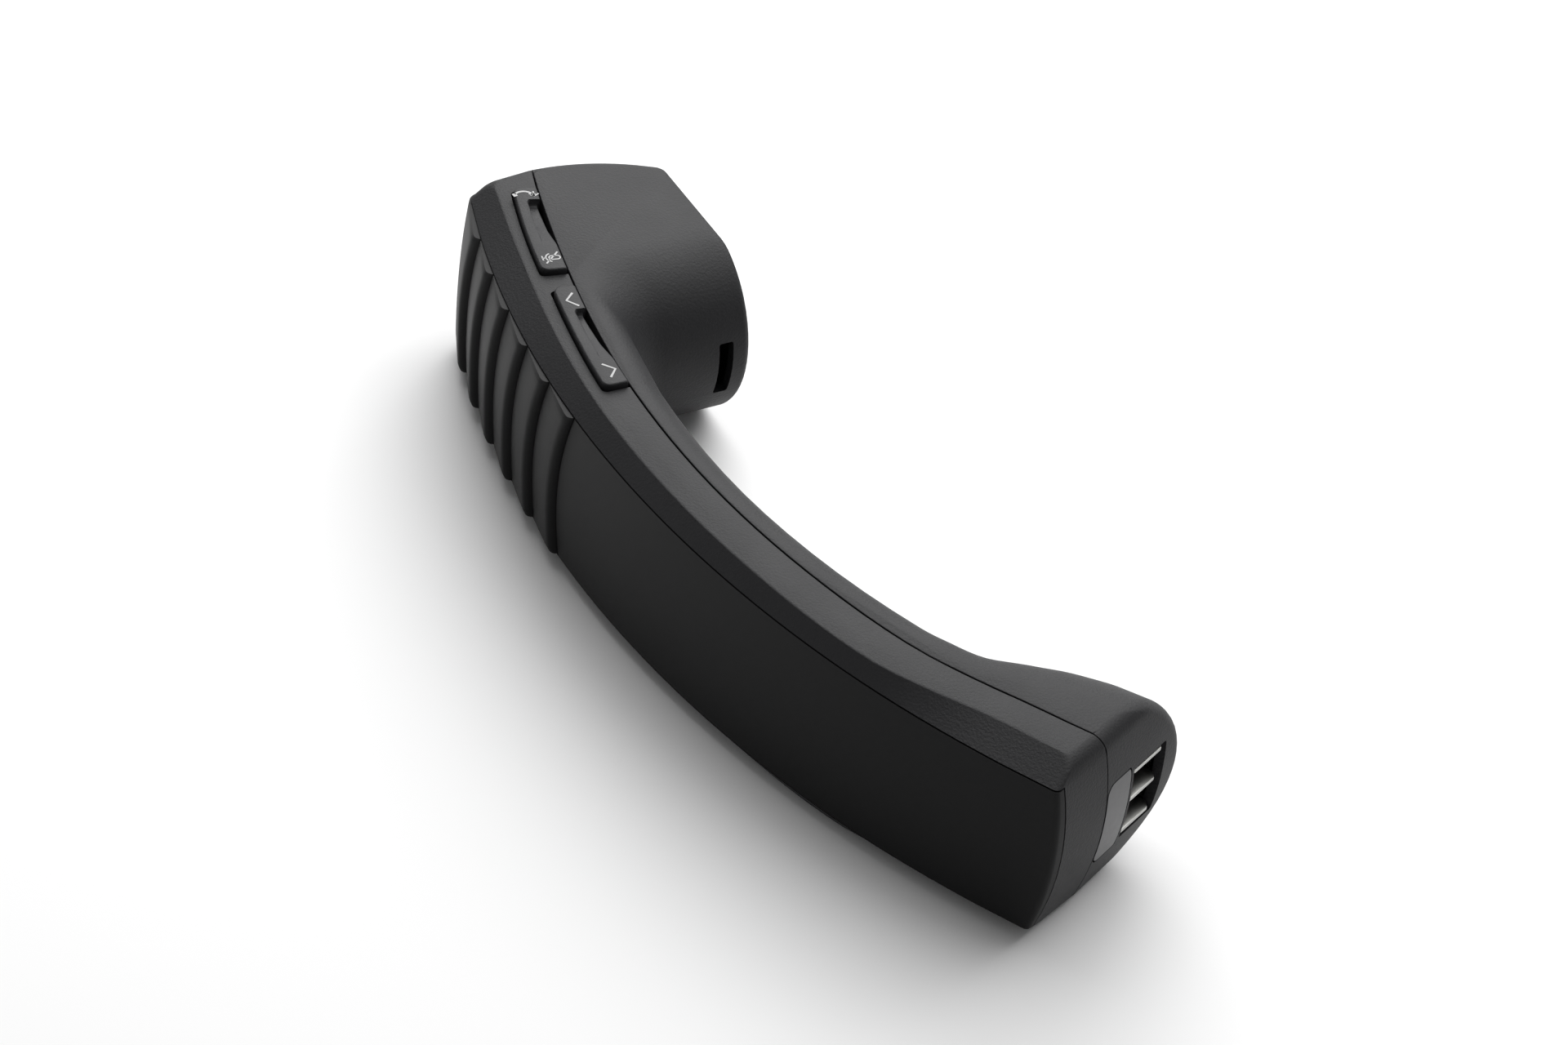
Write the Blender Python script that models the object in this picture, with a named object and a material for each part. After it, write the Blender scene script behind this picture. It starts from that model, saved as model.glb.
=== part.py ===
"""Cordless handset of a desk telephone, built as an assembly of its real pieces.

The handset lies on its side.  X runs along it from the ear cup (-X) to the
microphone cup (+X), Y runs from its back (-Y) to its cups (+Y), and Z is its
width.  It is drawn about its middle plane, with the lowest point of the curved
back at the drawing's origin, and one empty then stands it on its lower side.
"""
import math

import bmesh
import bpy
from mathutils import Matrix, Vector

# ---------------------------------------------------------------- driving sizes, in metres
WIDTH = 0.045
BACK_RADIUS = 0.2556
FIT_GAP = 0.0003
SHELL_WALL = 0.0022

# lines along the back: (distance along the back arc, depth in front of it)
PARTING_LINE = [(-0.125, 0.0141), (-0.095, 0.0149), (-0.074, 0.0149), (-0.035, 0.0136), (0.003, 0.0126),
                (0.036, 0.0123), (0.064, 0.0124), (0.080, 0.0138), (0.094, 0.0152), (0.125, 0.0160)]
CHAMFER_LINE = [(-0.125, 0.0040), (-0.102, 0.0056), (-0.077, 0.0060), (-0.031, 0.0043), (0.026, 0.0032),
                (0.061, 0.0028), (0.075, 0.0048), (0.090, 0.0070), (0.125, 0.0068)]
FRONT_LINE = [(-0.080, 0.0245), (-0.030, 0.0223), (0.000, 0.0214), (0.028, 0.0216), (0.053, 0.0224),
              (0.066, 0.0234), (0.075, 0.0266), (0.084, 0.0348), (0.092, 0.0412), (0.100, 0.0442),
              (0.112, 0.0454), (0.125, 0.0456)]
GRIP_CORNER_ACROSS = 0.0085
GRIP_CORNER_DEEP = 0.0080
NOSE_CORNER_DEEP = 0.0215
NOSE_BLEND_START = 0.066
NOSE_BLEND_END = 0.098

# ear cup: a rim that is straight for a stretch and then turns in a half circle as wide as the handset
RIM_CORNER = Vector((-0.1018, 0.0679))
RIM_TILT = math.radians(-6.54)
RIM_STRAIGHT = 0.0293
RIM_EDGE_RADIUS = 0.0018
CUP_FILLET = 0.0120
CUP_LIP = 0.0026
EAR_END_CENTRE = Vector((-0.0567, 0.0330))
EAR_END_RADIUS = 0.0543
EAR_CORNER_RADIUS = 0.0030
HEEL_RADIUS = 0.0036

# both ends bulge a little in plan and turn into the flat sides with a round
EAR_END_BULGE = 0.0018
MIC_END_BULGE = 0.0036
END_CORNER_RADIUS = 0.0030
MIC_END_STATION = 0.1100
BACK_SPAN = (-0.0980, 0.0960)
MIC_END_ANGLE = 0.1137579 / BACK_RADIUS
MIC_END_REACH = BACK_RADIUS - 0.0149575
MIC_END_POINT = Vector((MIC_END_REACH * math.sin(MIC_END_ANGLE),
                        BACK_RADIUS - MIC_END_REACH * math.cos(MIC_END_ANGLE)))
MIC_END_TILT = MIC_END_ANGLE - math.radians(7.5002)
MIC_END_REAR_TILT = MIC_END_TILT - math.radians(4.0)
NOSE_EDGE_RADIUS = 0.0034

# back panel and its six shingle-like finger ridges
PANEL_HALF_WIDTH = 0.01875
PANEL_THICKNESS = 0.0020
PANEL_CROWN = 0.0007
PANEL_TOP_DEPTH = 0.0105
RIDGE_COUNT = 6
RIDGE_PITCH = 0.01266
RIDGE_LAST = -0.0336
RIDGE_HEIGHT = 0.0015
RIDGE_STEP_RUN = 0.0009
RIDGE_SAG = 0.0026
RIDGE_END_DROP = 0.45
POCKET_OVERCUT = 0.0040
FLOOR_THICKNESS = 0.0018
REAR_SIDE_WALL = 0.0025

# side keys: (ear end, mic end) along the back arc
CALL_MUTE_SPAN = (-0.1086, -0.0775)
VOLUME_SPAN = (-0.0712, -0.0355)
KEY_BACK_LINE = [(-0.110, 0.0087), (-0.075, 0.0088), (-0.070, 0.0092), (-0.036, 0.0075)]
KEY_PROUD = 0.0015
KEY_GAP = 0.00035
KEY_CORNER = 0.0020
KEY_FLANGE = 0.0007
KEY_FLANGE_DROP = 0.0006
KEY_FLANGE_THICKNESS = 0.0008
KEY_POCKET_DEPTH = 0.0007
KEY_POCKET_MARGIN = 0.0026
CALL_MUTE_POCKET = (-0.1040, -0.0890)
VOLUME_POCKET = (-0.0626, -0.0458)
SWITCH_ARM = 0.0100
SOCKET_IVORY = (0.620, 0.570, 0.450)
PIN_RADIUS = 0.0008
PIN_CLEARANCE = 0.00012
PIN_LENGTH = 0.0052
PIN_BELOW_FLANGE = 0.0020
BOARD_THICKNESS = 0.0010

# charging window in the microphone end, with its contact blades
WINDOW_WIDTH = 0.0190
WINDOW_LENGTH = 0.0120
WINDOW_START = 0.0105
BLADE_COUNT = 3
BLADE_PITCH = 0.0082
BLADE_THICKNESS = 0.0009
BLADE_SETBACK = 0.0006
CARRIER_SETBACK = 0.0046
CARRIER_DEPTH = 0.0040

# hook slot in the wall of the ear cup
SLOT_WIDTH = 0.0136
SLOT_HEIGHT = 0.0035
SLOT_BELOW_RIM = 0.0062

# approval label in the microphone end
LABEL_THICKNESS = 0.00025
LABEL_START = 0.0012
LABEL_LENGTH = 0.0083
LABEL_HALF_WIDTH = 0.0105

# inside
SCREW_STATIONS = [-0.0440, 0.0160, 0.0905]
SCREW_RADIUS = 0.0011
SCREW_HEAD_RADIUS = 0.0021
SCREW_HEAD_HEIGHT = 0.0013
SCREW_LENGTH = 0.0085
BOSS_RADIUS = 0.0031
BOSS_SEAT_DEPTH = 0.0026
SPEAKER_RADIUS = 0.0140
SPEAKER_DEPTH = 0.0065
EAR_CAP_THICKNESS = 0.0016
EAR_CAP_SETBACK = 0.0010
EAR_HOLE_RADIUS = 0.0008
MIC_RADIUS = 0.0030
MIC_HEIGHT = 0.0027
MIC_STATION = 0.0785
MIC_SETBACK = 0.0007
MIC_HOLE_RADIUS = 0.0006

HALF = WIDTH / 2
KEY_TOP = HALF + KEY_PROUD
REAR_INNER_HALF = HALF - REAR_SIDE_WALL
FLOOR_DEPTH = PANEL_THICKNESS + FIT_GAP
CAVITY_DEPTH = FLOOR_DEPTH + FLOOR_THICKNESS
FLANGE_TOP = REAR_INNER_HALF - KEY_FLANGE_DROP
FLANGE_BOTTOM = FLANGE_TOP - KEY_FLANGE_THICKNESS
PIN_LEVEL = FLANGE_BOTTOM - PIN_BELOW_FLANGE
PLUNGER_TOP = FLANGE_BOTTOM - FIT_GAP
PLUNGER_RADIUS = 0.0011
PLUNGER_HEIGHT = 0.0016
SWITCH_SIZE = 0.0045
SWITCH_HEIGHT = 0.0035
SWITCH_TOP = PLUNGER_TOP - 0.0011
KEY_BOARD_TOP = SWITCH_TOP - SWITCH_HEIGHT - FIT_GAP

# ---------------------------------------------------------------- scene and materials


def clear_scene():
    for item in list(bpy.data.objects):
        bpy.data.objects.remove(item, do_unlink=True)


def collection(name):
    made = bpy.data.collections.new(name)
    bpy.context.scene.collection.children.link(made)
    return made


def material(name, red, green, blue, roughness, metallic=0.0):
    made = bpy.data.materials.new(name)
    made.use_nodes = True
    shader = made.node_tree.nodes["Principled BSDF"]
    shader.inputs["Base Color"].default_value = (red, green, blue, 1.0)
    shader.inputs["Roughness"].default_value = roughness
    shader.inputs["Metallic"].default_value = metallic
    made.diffuse_color = (red, green, blue, 1.0)
    return made


# ---------------------------------------------------------------- lines of the design


def through(points, at):
    """Smooth value at a station, on a curve through (station, value) points."""
    if at <= points[0][0]:
        return points[0][1]
    if at >= points[-1][0]:
        return points[-1][1]
    slopes = []
    for i in range(len(points)):
        low = points[max(i - 1, 0)]
        high = points[min(i + 1, len(points) - 1)]
        slopes.append((high[1] - low[1]) / (high[0] - low[0]))
    i = max(k for k in range(len(points) - 1) if points[k][0] <= at)
    step = points[i + 1][0] - points[i][0]
    t = (at - points[i][0]) / step
    rise = points[i + 1][1] - points[i][1]
    start = slopes[i] * step
    end = slopes[i + 1] * step
    return points[i][1] + t * (start + t * ((3 * rise - 2 * start - end) + t * (start + end - 2 * rise)))


def spine(station, depth):
    """Point of the side view at a station along the back arc and a depth in front of it."""
    angle = station / BACK_RADIUS
    radius = BACK_RADIUS - depth
    return Vector((radius * math.sin(angle), BACK_RADIUS - radius * math.cos(angle)))


def plan_setback(z, bulge, half=HALF):
    """How far an end face stands back from its middle at a height z across the width."""
    across = min(abs(z) / half, 1.0)
    corner = max(abs(z) - (half - END_CORNER_RADIUS), 0.0)
    corner = min(corner, END_CORNER_RADIUS)
    turned = END_CORNER_RADIUS - math.sqrt(END_CORNER_RADIUS ** 2 - corner ** 2)
    return bulge * across ** 2 + turned


def nose_share(station):
    """0 in the grip, 1 in the microphone cup."""
    t = (station - NOSE_BLEND_START) / (NOSE_BLEND_END - NOSE_BLEND_START)
    t = min(max(t, 0.0), 1.0)
    return t * t * (3 - 2 * t)


def front_depth(station, z, inset=0.0):
    """Depth of the front surface, whose corners are quarter ellipses."""
    share = nose_share(station)
    across = GRIP_CORNER_ACROSS + share * (HALF - GRIP_CORNER_ACROSS)
    deep = GRIP_CORNER_DEEP + share * (NOSE_CORNER_DEEP - GRIP_CORNER_DEEP)
    half = HALF - inset
    across = max(across - inset, 0.001)
    deep = max(deep - inset, 0.001)
    w = (abs(z) - (half - across)) / across
    w = min(max(w, 0.0), 1.0)
    return through(FRONT_LINE, station) - inset - deep * (1 - math.sqrt(1 - w * w))


def back_depth(z, station):
    """Depth of the back: flat over the panel, then the chamfer down to the side."""
    beyond = (abs(z) - PANEL_HALF_WIDTH) / (HALF - PANEL_HALF_WIDTH)
    return max(beyond, 0.0) * through(CHAMFER_LINE, station)


def mic_end_station(depth, back):
    """Station where the tilted microphone end, moved back a little, cuts a depth line."""
    behind_parting = depth < BACK_RADIUS - math.hypot(MIC_END_POINT.x, BACK_RADIUS - MIC_END_POINT.y)
    tilt = MIC_END_REAR_TILT if behind_parting else MIC_END_TILT
    normal = Vector((math.cos(tilt), math.sin(tilt)))
    offset = MIC_END_POINT.dot(normal) - back
    return BACK_RADIUS * (tilt + math.asin((offset - BACK_RADIUS * normal.y) / (BACK_RADIUS - depth)))


def ear_end_point(height, back):
    """Point of the curved ear end at a height y in the side view."""
    radius = EAR_END_RADIUS - back
    rise = height - EAR_END_CENTRE.y
    return Vector((EAR_END_CENTRE.x - math.sqrt(radius ** 2 - rise ** 2), height))


def ear_end_station(line, back):
    """Station where a depth line meets the curved ear end."""
    low = -0.150
    high = -0.060
    for _ in range(50):
        middle = (low + high) / 2
        reach = (spine(middle, through(line, middle)) - EAR_END_CENTRE).length
        if reach > EAR_END_RADIUS - back:
            low = middle
        else:
            high = middle
    return high


def level_line(depth):
    """Line of one depth under the ear end, as (station, depth) points."""
    return [(-0.140, depth), (-0.090, depth)]


def rim_point(along, below):
    """Point of the side view along the rim from its ear-end corner and below its plane."""
    return RIM_CORNER + Vector((math.cos(RIM_TILT), math.sin(RIM_TILT))) * along \
        + Vector((math.sin(RIM_TILT), -math.cos(RIM_TILT))) * below


def rounded(corners, segments=4):
    """Outline from (point, radius) corners, each radius turned into an arc."""
    outline = []
    count = len(corners)
    for i, (point, radius) in enumerate(corners):
        before = (corners[i - 1][0] - point)
        after = (corners[(i + 1) % count][0] - point)
        if radius <= 0 or before.length < 1e-9 or after.length < 1e-9:
            outline.append(point)
            continue
        before_way = before.normalized()
        after_way = after.normalized()
        half_angle = before_way.angle(after_way) / 2
        reach = min(radius / math.tan(half_angle), before.length * 0.49, after.length * 0.49)
        radius = reach * math.tan(half_angle)
        centre = point + (before_way + after_way).normalized() * (radius / math.sin(half_angle))
        start = point + before_way * reach - centre
        end = point + after_way * reach - centre
        turn = start.angle_signed(end)
        for k in range(segments + 1):
            part = Vector(start)
            part.rotate(Matrix.Rotation(-turn * k / segments, 2))
            outline.append(centre + part)
    return outline


# ---------------------------------------------------------------- mesh helpers


def add(name, mesh, finish, group, parent, frame=None):
    mesh.materials.clear()
    mesh.materials.append(finish)
    made = bpy.data.objects.new(name, mesh)
    group.objects.link(made)
    made.parent = parent
    if frame is not None:
        made.matrix_local = frame
    return made


def finish_mesh(bm, name, smooth_angle=35.0):
    bmesh.ops.recalc_face_normals(bm, faces=bm.faces)
    mesh = bpy.data.meshes.new(name)
    bm.to_mesh(mesh)
    bm.free()
    mesh.shade_smooth()
    mesh.set_sharp_from_angle(angle=math.radians(smooth_angle))
    return mesh


def loft(name, levels, outline_at):
    """Closed body through the outlines at rising z levels, which all have as many points."""
    bm = bmesh.new()
    rings = []
    for z in levels:
        rings.append([bm.verts.new((p.x, p.y, z)) for p in outline_at(z)])
    for low, high in zip(rings[:-1], rings[1:]):
        for i in range(len(low)):
            j = (i + 1) % len(low)
            bm.faces.new((low[i], low[j], high[j], high[i]))
    bm.faces.new(rings[0])
    bm.faces.new(rings[-1])
    return finish_mesh(bm, name)


def prism(name, outline, low, high, top_round=0.0):
    """Upright body over an outline, with its top edge rounded if asked."""
    bm = bmesh.new()
    base = bm.faces.new([bm.verts.new((p.x, p.y, low)) for p in outline])
    raised = bmesh.ops.extrude_face_region(bm, geom=[base])
    tops = [v for v in raised["geom"] if isinstance(v, bmesh.types.BMVert)]
    bmesh.ops.translate(bm, verts=tops, vec=(0, 0, high - low))
    if top_round > 0:
        edges = [e for e in bm.edges if all(v in tops for v in e.verts)]
        bmesh.ops.bevel(bm, geom=edges, offset=top_round, segments=2, profile=0.5, affect="EDGES", material=-1)
    return finish_mesh(bm, name)


def box(name, size, centre=(0, 0, 0)):
    bm = bmesh.new()
    bmesh.ops.create_cube(bm, size=1.0, matrix=Matrix.Translation(centre) @ Matrix.Diagonal((*size, 1.0)))
    return finish_mesh(bm, name)


def rod(name, radius, start, end, segments=20, tip_radius=None):
    """Round bar from one point to another."""
    way = Vector(end) - Vector(start)
    middle = (Vector(start) + Vector(end)) / 2
    turn = way.to_track_quat("Z", "Y").to_matrix().to_4x4()
    bm = bmesh.new()
    bmesh.ops.create_cone(bm, cap_ends=True, segments=segments, radius1=radius,
                          radius2=radius if tip_radius is None else tip_radius,
                          depth=way.length, matrix=Matrix.Translation(middle) @ turn)
    return finish_mesh(bm, name)


def boolean(target, cutter, operation="DIFFERENCE", solver="EXACT"):
    step = target.modifiers.new(cutter.name, "BOOLEAN")
    step.operation = operation
    step.solver = solver
    step.object = cutter


def tool(name, mesh, group, parent, frame=None):
    """A cutter or an added shape that is no piece of its own."""
    made = bpy.data.objects.new(name, mesh)
    group.objects.link(made)
    made.parent = parent
    if frame is not None:
        made.matrix_local = frame
    made.hide_render = True
    made.display_type = "WIRE"
    return made


def at(point, turn=0.0, z=0.0):
    """Frame at a point of the side view, turned about the width."""
    return Matrix.Translation((point.x, point.y, z)) @ Matrix.Rotation(turn, 4, "Z")


def on_spine(station, depth, z=0.0):
    return at(spine(station, depth), station / BACK_RADIUS, z)


def on_rim(along, below, z=0.0):
    return at(rim_point(along, below), RIM_TILT, z)


def on_mic_end(along, below, z=0.0):
    turn = Matrix.Rotation(MIC_END_TILT, 2)
    point = MIC_END_POINT + turn @ Vector((-below, along))
    return at(point, MIC_END_TILT, z)


def round_levels(half, count):
    """Heights across a width, closer together near the sides."""
    return [half * math.sin(math.pi / 2 * (2 * i / (count - 1) - 1)) for i in range(count)]


def spread(low, high, count):
    return [low + (high - low) * i / (count - 1) for i in range(count)]


# ---------------------------------------------------------------- casing


def front_outline(z, inset=0.0, below_parting=0.0, above_rim=0.0):
    """Side view of the front shell, or of its hollow, at a height across the width."""
    half = HALF - inset
    ear_back = plan_setback(z, EAR_END_BULGE, half) + inset
    mic_back = plan_setback(z, MIC_END_BULGE, half) + inset
    lift = FIT_GAP / 2 - below_parting
    line = [(s, d + lift) for s, d in PARTING_LINE]
    corners = []
    ear_station = ear_end_station(line, ear_back)
    mic_station = mic_end_station(through(line, MIC_END_STATION), mic_back)
    for station in spread(ear_station, mic_station, 15):
        corners.append((spine(station, through(line, station)), 0.0))
    nose_station = mic_end_station(front_depth(MIC_END_STATION, z, inset), mic_back)
    nose_depth = front_depth(nose_station, z, inset)
    parting_depth = through(line, mic_station)
    for share in (0.25, 0.5):
        depth = parting_depth + share * (nose_depth - parting_depth)
        corners.append((spine(mic_end_station(depth, mic_back), depth), 0.0))
    corners.append((spine(nose_station, nose_depth), NOSE_EDGE_RADIUS))
    for station in spread(0.102, 0.062, 9) + [0.048, 0.030, 0.012, -0.008, -0.024, -0.036]:
        corners.append((spine(station, front_depth(station, z, inset)), 0.0))
    reach = RIM_STRAIGHT + math.sqrt(max(half ** 2 - z ** 2, 0.0))
    low = -above_rim if above_rim else RIM_EDGE_RADIUS - math.sqrt(
        RIM_EDGE_RADIUS ** 2 - max(abs(z) - half + RIM_EDGE_RADIUS, 0.0) ** 2)
    foot = cup_foot(reach, z, inset)
    corners.append((foot, CUP_FILLET + inset))
    edge = RIM_EDGE_RADIUS if not above_rim else 0.0
    corners.append((rim_point(reach, low), edge))
    top = rim_point(ear_back, low)
    ear_top = ear_end_point(top.y - 0.0020, ear_back)
    corners.append((rim_point((ear_top - RIM_CORNER).dot(rim_point(1, 0) - RIM_CORNER) + 0.0010, low),
                    EAR_CORNER_RADIUS if not above_rim else 0.0))
    parting = spine(ear_station, through(line, ear_station))
    for share in (0.85, 0.68, 0.51, 0.34, 0.17):
        corners.append((ear_end_point(parting.y + share * (ear_top.y - parting.y), ear_back), 0.0))
    return rounded(corners)


def cup_foot(reach, z, inset):
    """Where the wall of the ear cup runs down into the front of the grip."""
    low = 0.0
    high = 0.070
    for _ in range(40):
        middle = (low + high) / 2
        point = rim_point(reach, middle)
        station = BACK_RADIUS * math.atan2(point.x, BACK_RADIUS - point.y)
        depth = BACK_RADIUS - math.hypot(point.x, BACK_RADIUS - point.y)
        if depth > front_depth(station, z, inset):
            low = middle
        else:
            high = middle
    return rim_point(reach, low)


def rear_outline(z):
    """Side view of the rear shell at a height across the width."""
    ear_back = plan_setback(z, EAR_END_BULGE)
    mic_back = plan_setback(z, MIC_END_BULGE)
    mic_station = mic_end_station(back_depth(z, MIC_END_STATION), mic_back)
    corners = [(spine(mic_station, back_depth(z, mic_station)), 0.0)]
    for station in spread(BACK_SPAN[1], BACK_SPAN[0], 21):
        corners.append((spine(station, back_depth(z, station)), 0.0))
    heel = ear_end_station([(s, back_depth(z, s)) for s in (-0.130, BACK_SPAN[0])], ear_back)
    corners.append((spine(heel, back_depth(z, heel)), HEEL_RADIUS))
    line = [(s, d - FIT_GAP / 2) for s, d in PARTING_LINE]
    ear_station = ear_end_station(line, ear_back)
    mic_station = mic_end_station(through(line, MIC_END_STATION), mic_back)
    for station in spread(ear_station, mic_station, 16):
        corners.append((spine(station, through(line, station)), 0.0))
    return rounded(corners)


def rear_hollow_outline(z):
    """Side view of the hollow between the floor of the rear shell and the parting line."""
    ear_back = plan_setback(z, EAR_END_BULGE) + SHELL_WALL
    mic_back = plan_setback(z, MIC_END_BULGE) + SHELL_WALL
    line = [(s, d + 0.003) for s, d in PARTING_LINE]
    ear_low = ear_end_station(level_line(CAVITY_DEPTH), ear_back)
    mic_low = mic_end_station(CAVITY_DEPTH, mic_back)
    corners = []
    for station in spread(mic_low, ear_low, 13):
        corners.append((spine(station, CAVITY_DEPTH), 0.0))
    ear_station = ear_end_station(line, ear_back)
    mic_station = mic_end_station(through(line, MIC_END_STATION), mic_back)
    for station in spread(ear_station, mic_station, 13):
        corners.append((spine(station, through(line, station)), 0.0))
    return rounded(corners)


def ridge_stations(z):
    """Foot stations of the ridges at a height across the width, nearest the microphone first."""
    sag = RIDGE_SAG * (1 - (z / PANEL_HALF_WIDTH) ** 2)
    return [RIDGE_LAST - sag - k * RIDGE_PITCH for k in range(RIDGE_COUNT)]


def panel_outline(z):
    """Section of the back panel, with its ridges, at a height across the width."""
    share = 1 - (z / PANEL_HALF_WIDTH) ** 2
    crown = PANEL_CROWN * share
    height = RIDGE_HEIGHT * (1 - RIDGE_END_DROP * (z / PANEL_HALF_WIDTH) ** 6)
    ear_back = plan_setback(z, EAR_END_BULGE)
    mic_back = plan_setback(z, MIC_END_BULGE)
    corners = [(spine(mic_end_station(-crown, mic_back), -crown), 0.0)]
    feet = ridge_stations(z)
    for station in spread(BACK_SPAN[1], feet[0] + RIDGE_PITCH, 10):
        corners.append((spine(station, -crown), 0.0))
    for foot in feet:
        corners.append((spine(foot, -crown), 0.0))
        corners.append((spine(foot - RIDGE_STEP_RUN, -crown - height * 0.85), 0.0))
        corners.append((spine(foot - 2 * RIDGE_STEP_RUN, -crown - height), 0.0))
    heel = ear_end_station(level_line(0.0), ear_back)
    corners.append((spine(heel, -crown * 0.5), HEEL_RADIUS))
    top = ear_end_station(level_line(PANEL_TOP_DEPTH), ear_back)
    corners.append((spine(top, PANEL_TOP_DEPTH), 0.0))
    inner_back = ear_back + PANEL_THICKNESS
    top = ear_end_station(level_line(PANEL_TOP_DEPTH), inner_back)
    corners.append((spine(top, PANEL_TOP_DEPTH), 0.0))
    heel = ear_end_station(level_line(PANEL_THICKNESS), inner_back)
    corners.append((spine(heel, PANEL_THICKNESS), HEEL_RADIUS - PANEL_THICKNESS))
    for station in spread(*BACK_SPAN, 14):
        corners.append((spine(station, PANEL_THICKNESS), 0.0))
    mic_station = mic_end_station(PANEL_THICKNESS, mic_back)
    corners.append((spine(mic_station, PANEL_THICKNESS), 0.0))
    return rounded(corners)


def pocket_outline(z):
    """Section of the panel's pocket in the rear shell, which reaches out past the back."""
    outer = -POCKET_OVERCUT
    ear_back = plan_setback(z, EAR_END_BULGE)
    mic_back = plan_setback(z, MIC_END_BULGE) + outer
    top_depth = PANEL_TOP_DEPTH + FIT_GAP
    corners = [(spine(mic_end_station(outer, mic_back), outer), 0.0)]
    for station in spread(BACK_SPAN[1], BACK_SPAN[0], 13):
        corners.append((spine(station, outer), 0.0))
    heel = ear_end_station(level_line(outer), ear_back + outer)
    corners.append((spine(heel, outer), HEEL_RADIUS))
    top = ear_end_station(level_line(top_depth), ear_back + outer)
    corners.append((spine(top, top_depth), 0.0))
    inner_back = ear_back + FLOOR_DEPTH
    top = ear_end_station(level_line(top_depth), inner_back)
    corners.append((spine(top, top_depth), 0.0))
    heel = ear_end_station(level_line(FLOOR_DEPTH), inner_back)
    corners.append((spine(heel, FLOOR_DEPTH), HEEL_RADIUS - PANEL_THICKNESS))
    for station in spread(*BACK_SPAN, 13):
        corners.append((spine(station, FLOOR_DEPTH), 0.0))
    corners.append((spine(mic_end_station(FLOOR_DEPTH, mic_back), FLOOR_DEPTH), 0.0))
    return rounded(corners)


def key_outline(span, grow, end_trim=0.0, corner=KEY_CORNER, front_gap=None):
    """Outline of a side key in the side view, grown or shrunk all round."""
    low = span[0] - grow + end_trim
    high = span[1] + grow - end_trim
    front = -FIT_GAP / 2 + (grow if front_gap is None else -front_gap)
    corners = []
    stations = spread(low, high, 7)
    for i, station in enumerate(stations):
        ends = i in (0, len(stations) - 1)
        corners.append((spine(station, through(KEY_BACK_LINE, station) - grow), corner if ends else 0.0))
    for i, station in enumerate(reversed(stations)):
        ends = i in (0, len(stations) - 1)
        corners.append((spine(station, through(PARTING_LINE, station) + front), 0.0004 if ends else 0.0))
    return rounded(corners, 3)


def pocket_in_key(span):
    """Outline of the finger pocket of a key, open towards the parting line."""
    stations = spread(*span, 4)
    outline = [spine(s, through(KEY_BACK_LINE, s) + KEY_POCKET_MARGIN) for s in stations]
    return outline + [spine(s, through(PARTING_LINE, s) + KEY_GAP) for s in reversed(stations)]


def key_frame_point(span):
    """Station and depth of a key's rocking axis."""
    station = (span[0] + span[1]) / 2
    depth = (through(KEY_BACK_LINE, station) + through(PARTING_LINE, station)) / 2
    return station, depth


# ---------------------------------------------------------------- pieces


def make_front_shell(parts, tools, root, finish):
    levels = round_levels(HALF, 19)
    shell = add("front_shell", loft("front_shell", levels, front_outline), finish, parts, root)
    inner_levels = round_levels(HALF - SHELL_WALL, 13)
    hollow = loft("front_hollow", inner_levels,
                  lambda z: front_outline(z, SHELL_WALL, below_parting=0.002))
    boolean(shell, tool("front_hollow_cutter", hollow, tools, root))
    mouth_half = HALF - CUP_LIP
    mouth = prism("ear_mouth", cup_u_outline(mouth_half), -0.0085, 0.0200)
    boolean(shell, tool("ear_mouth_cutter", mouth, tools, root, cup_upright()))
    window = box("window", (0.010, WINDOW_LENGTH, WINDOW_WIDTH), (0, WINDOW_START + WINDOW_LENGTH / 2, 0))
    boolean(shell, tool("window_cutter", window, tools, root, on_mic_end(0.0, 0.0)))
    slot = box("slot", (0.012, SLOT_HEIGHT, SLOT_WIDTH))
    reach = RIM_STRAIGHT + HALF
    boolean(shell, tool("slot_cutter", slot, tools, root, on_rim(reach, SLOT_BELOW_RIM)))
    recess = label_body("label_recess", LABEL_THICKNESS + FIT_GAP, FIT_GAP, 0.002)
    boolean(shell, tool("label_recess_cutter", recess, tools, root))
    hole = rod("mic_hole", MIC_HOLE_RADIUS, (0, 0, -0.004), (0, 0, 0.006), 10)
    boolean(shell, tool("mic_hole_cutter", hole, tools, root, mic_frame(0.0)))
    for index, station in enumerate(SCREW_STATIONS, 1):
        top = through(FRONT_LINE, station) - SHELL_WALL / 2
        bottom = CAVITY_DEPTH + BOSS_SEAT_DEPTH + FIT_GAP
        boss = rod("boss", BOSS_RADIUS, (0, bottom, 0), (0, top, 0), 16)
        boolean(shell, tool(f"front_boss_{index}", boss, tools, root, on_spine(station, 0.0)), "UNION")
        pilot = rod("pilot", SCREW_RADIUS + FIT_GAP, (0, 0, 0), (0, top - 0.0020, 0), 12)
        boolean(shell, tool(f"pilot_cutter_{index}", pilot, tools, root, on_spine(station, 0.0)))
    return shell


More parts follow.
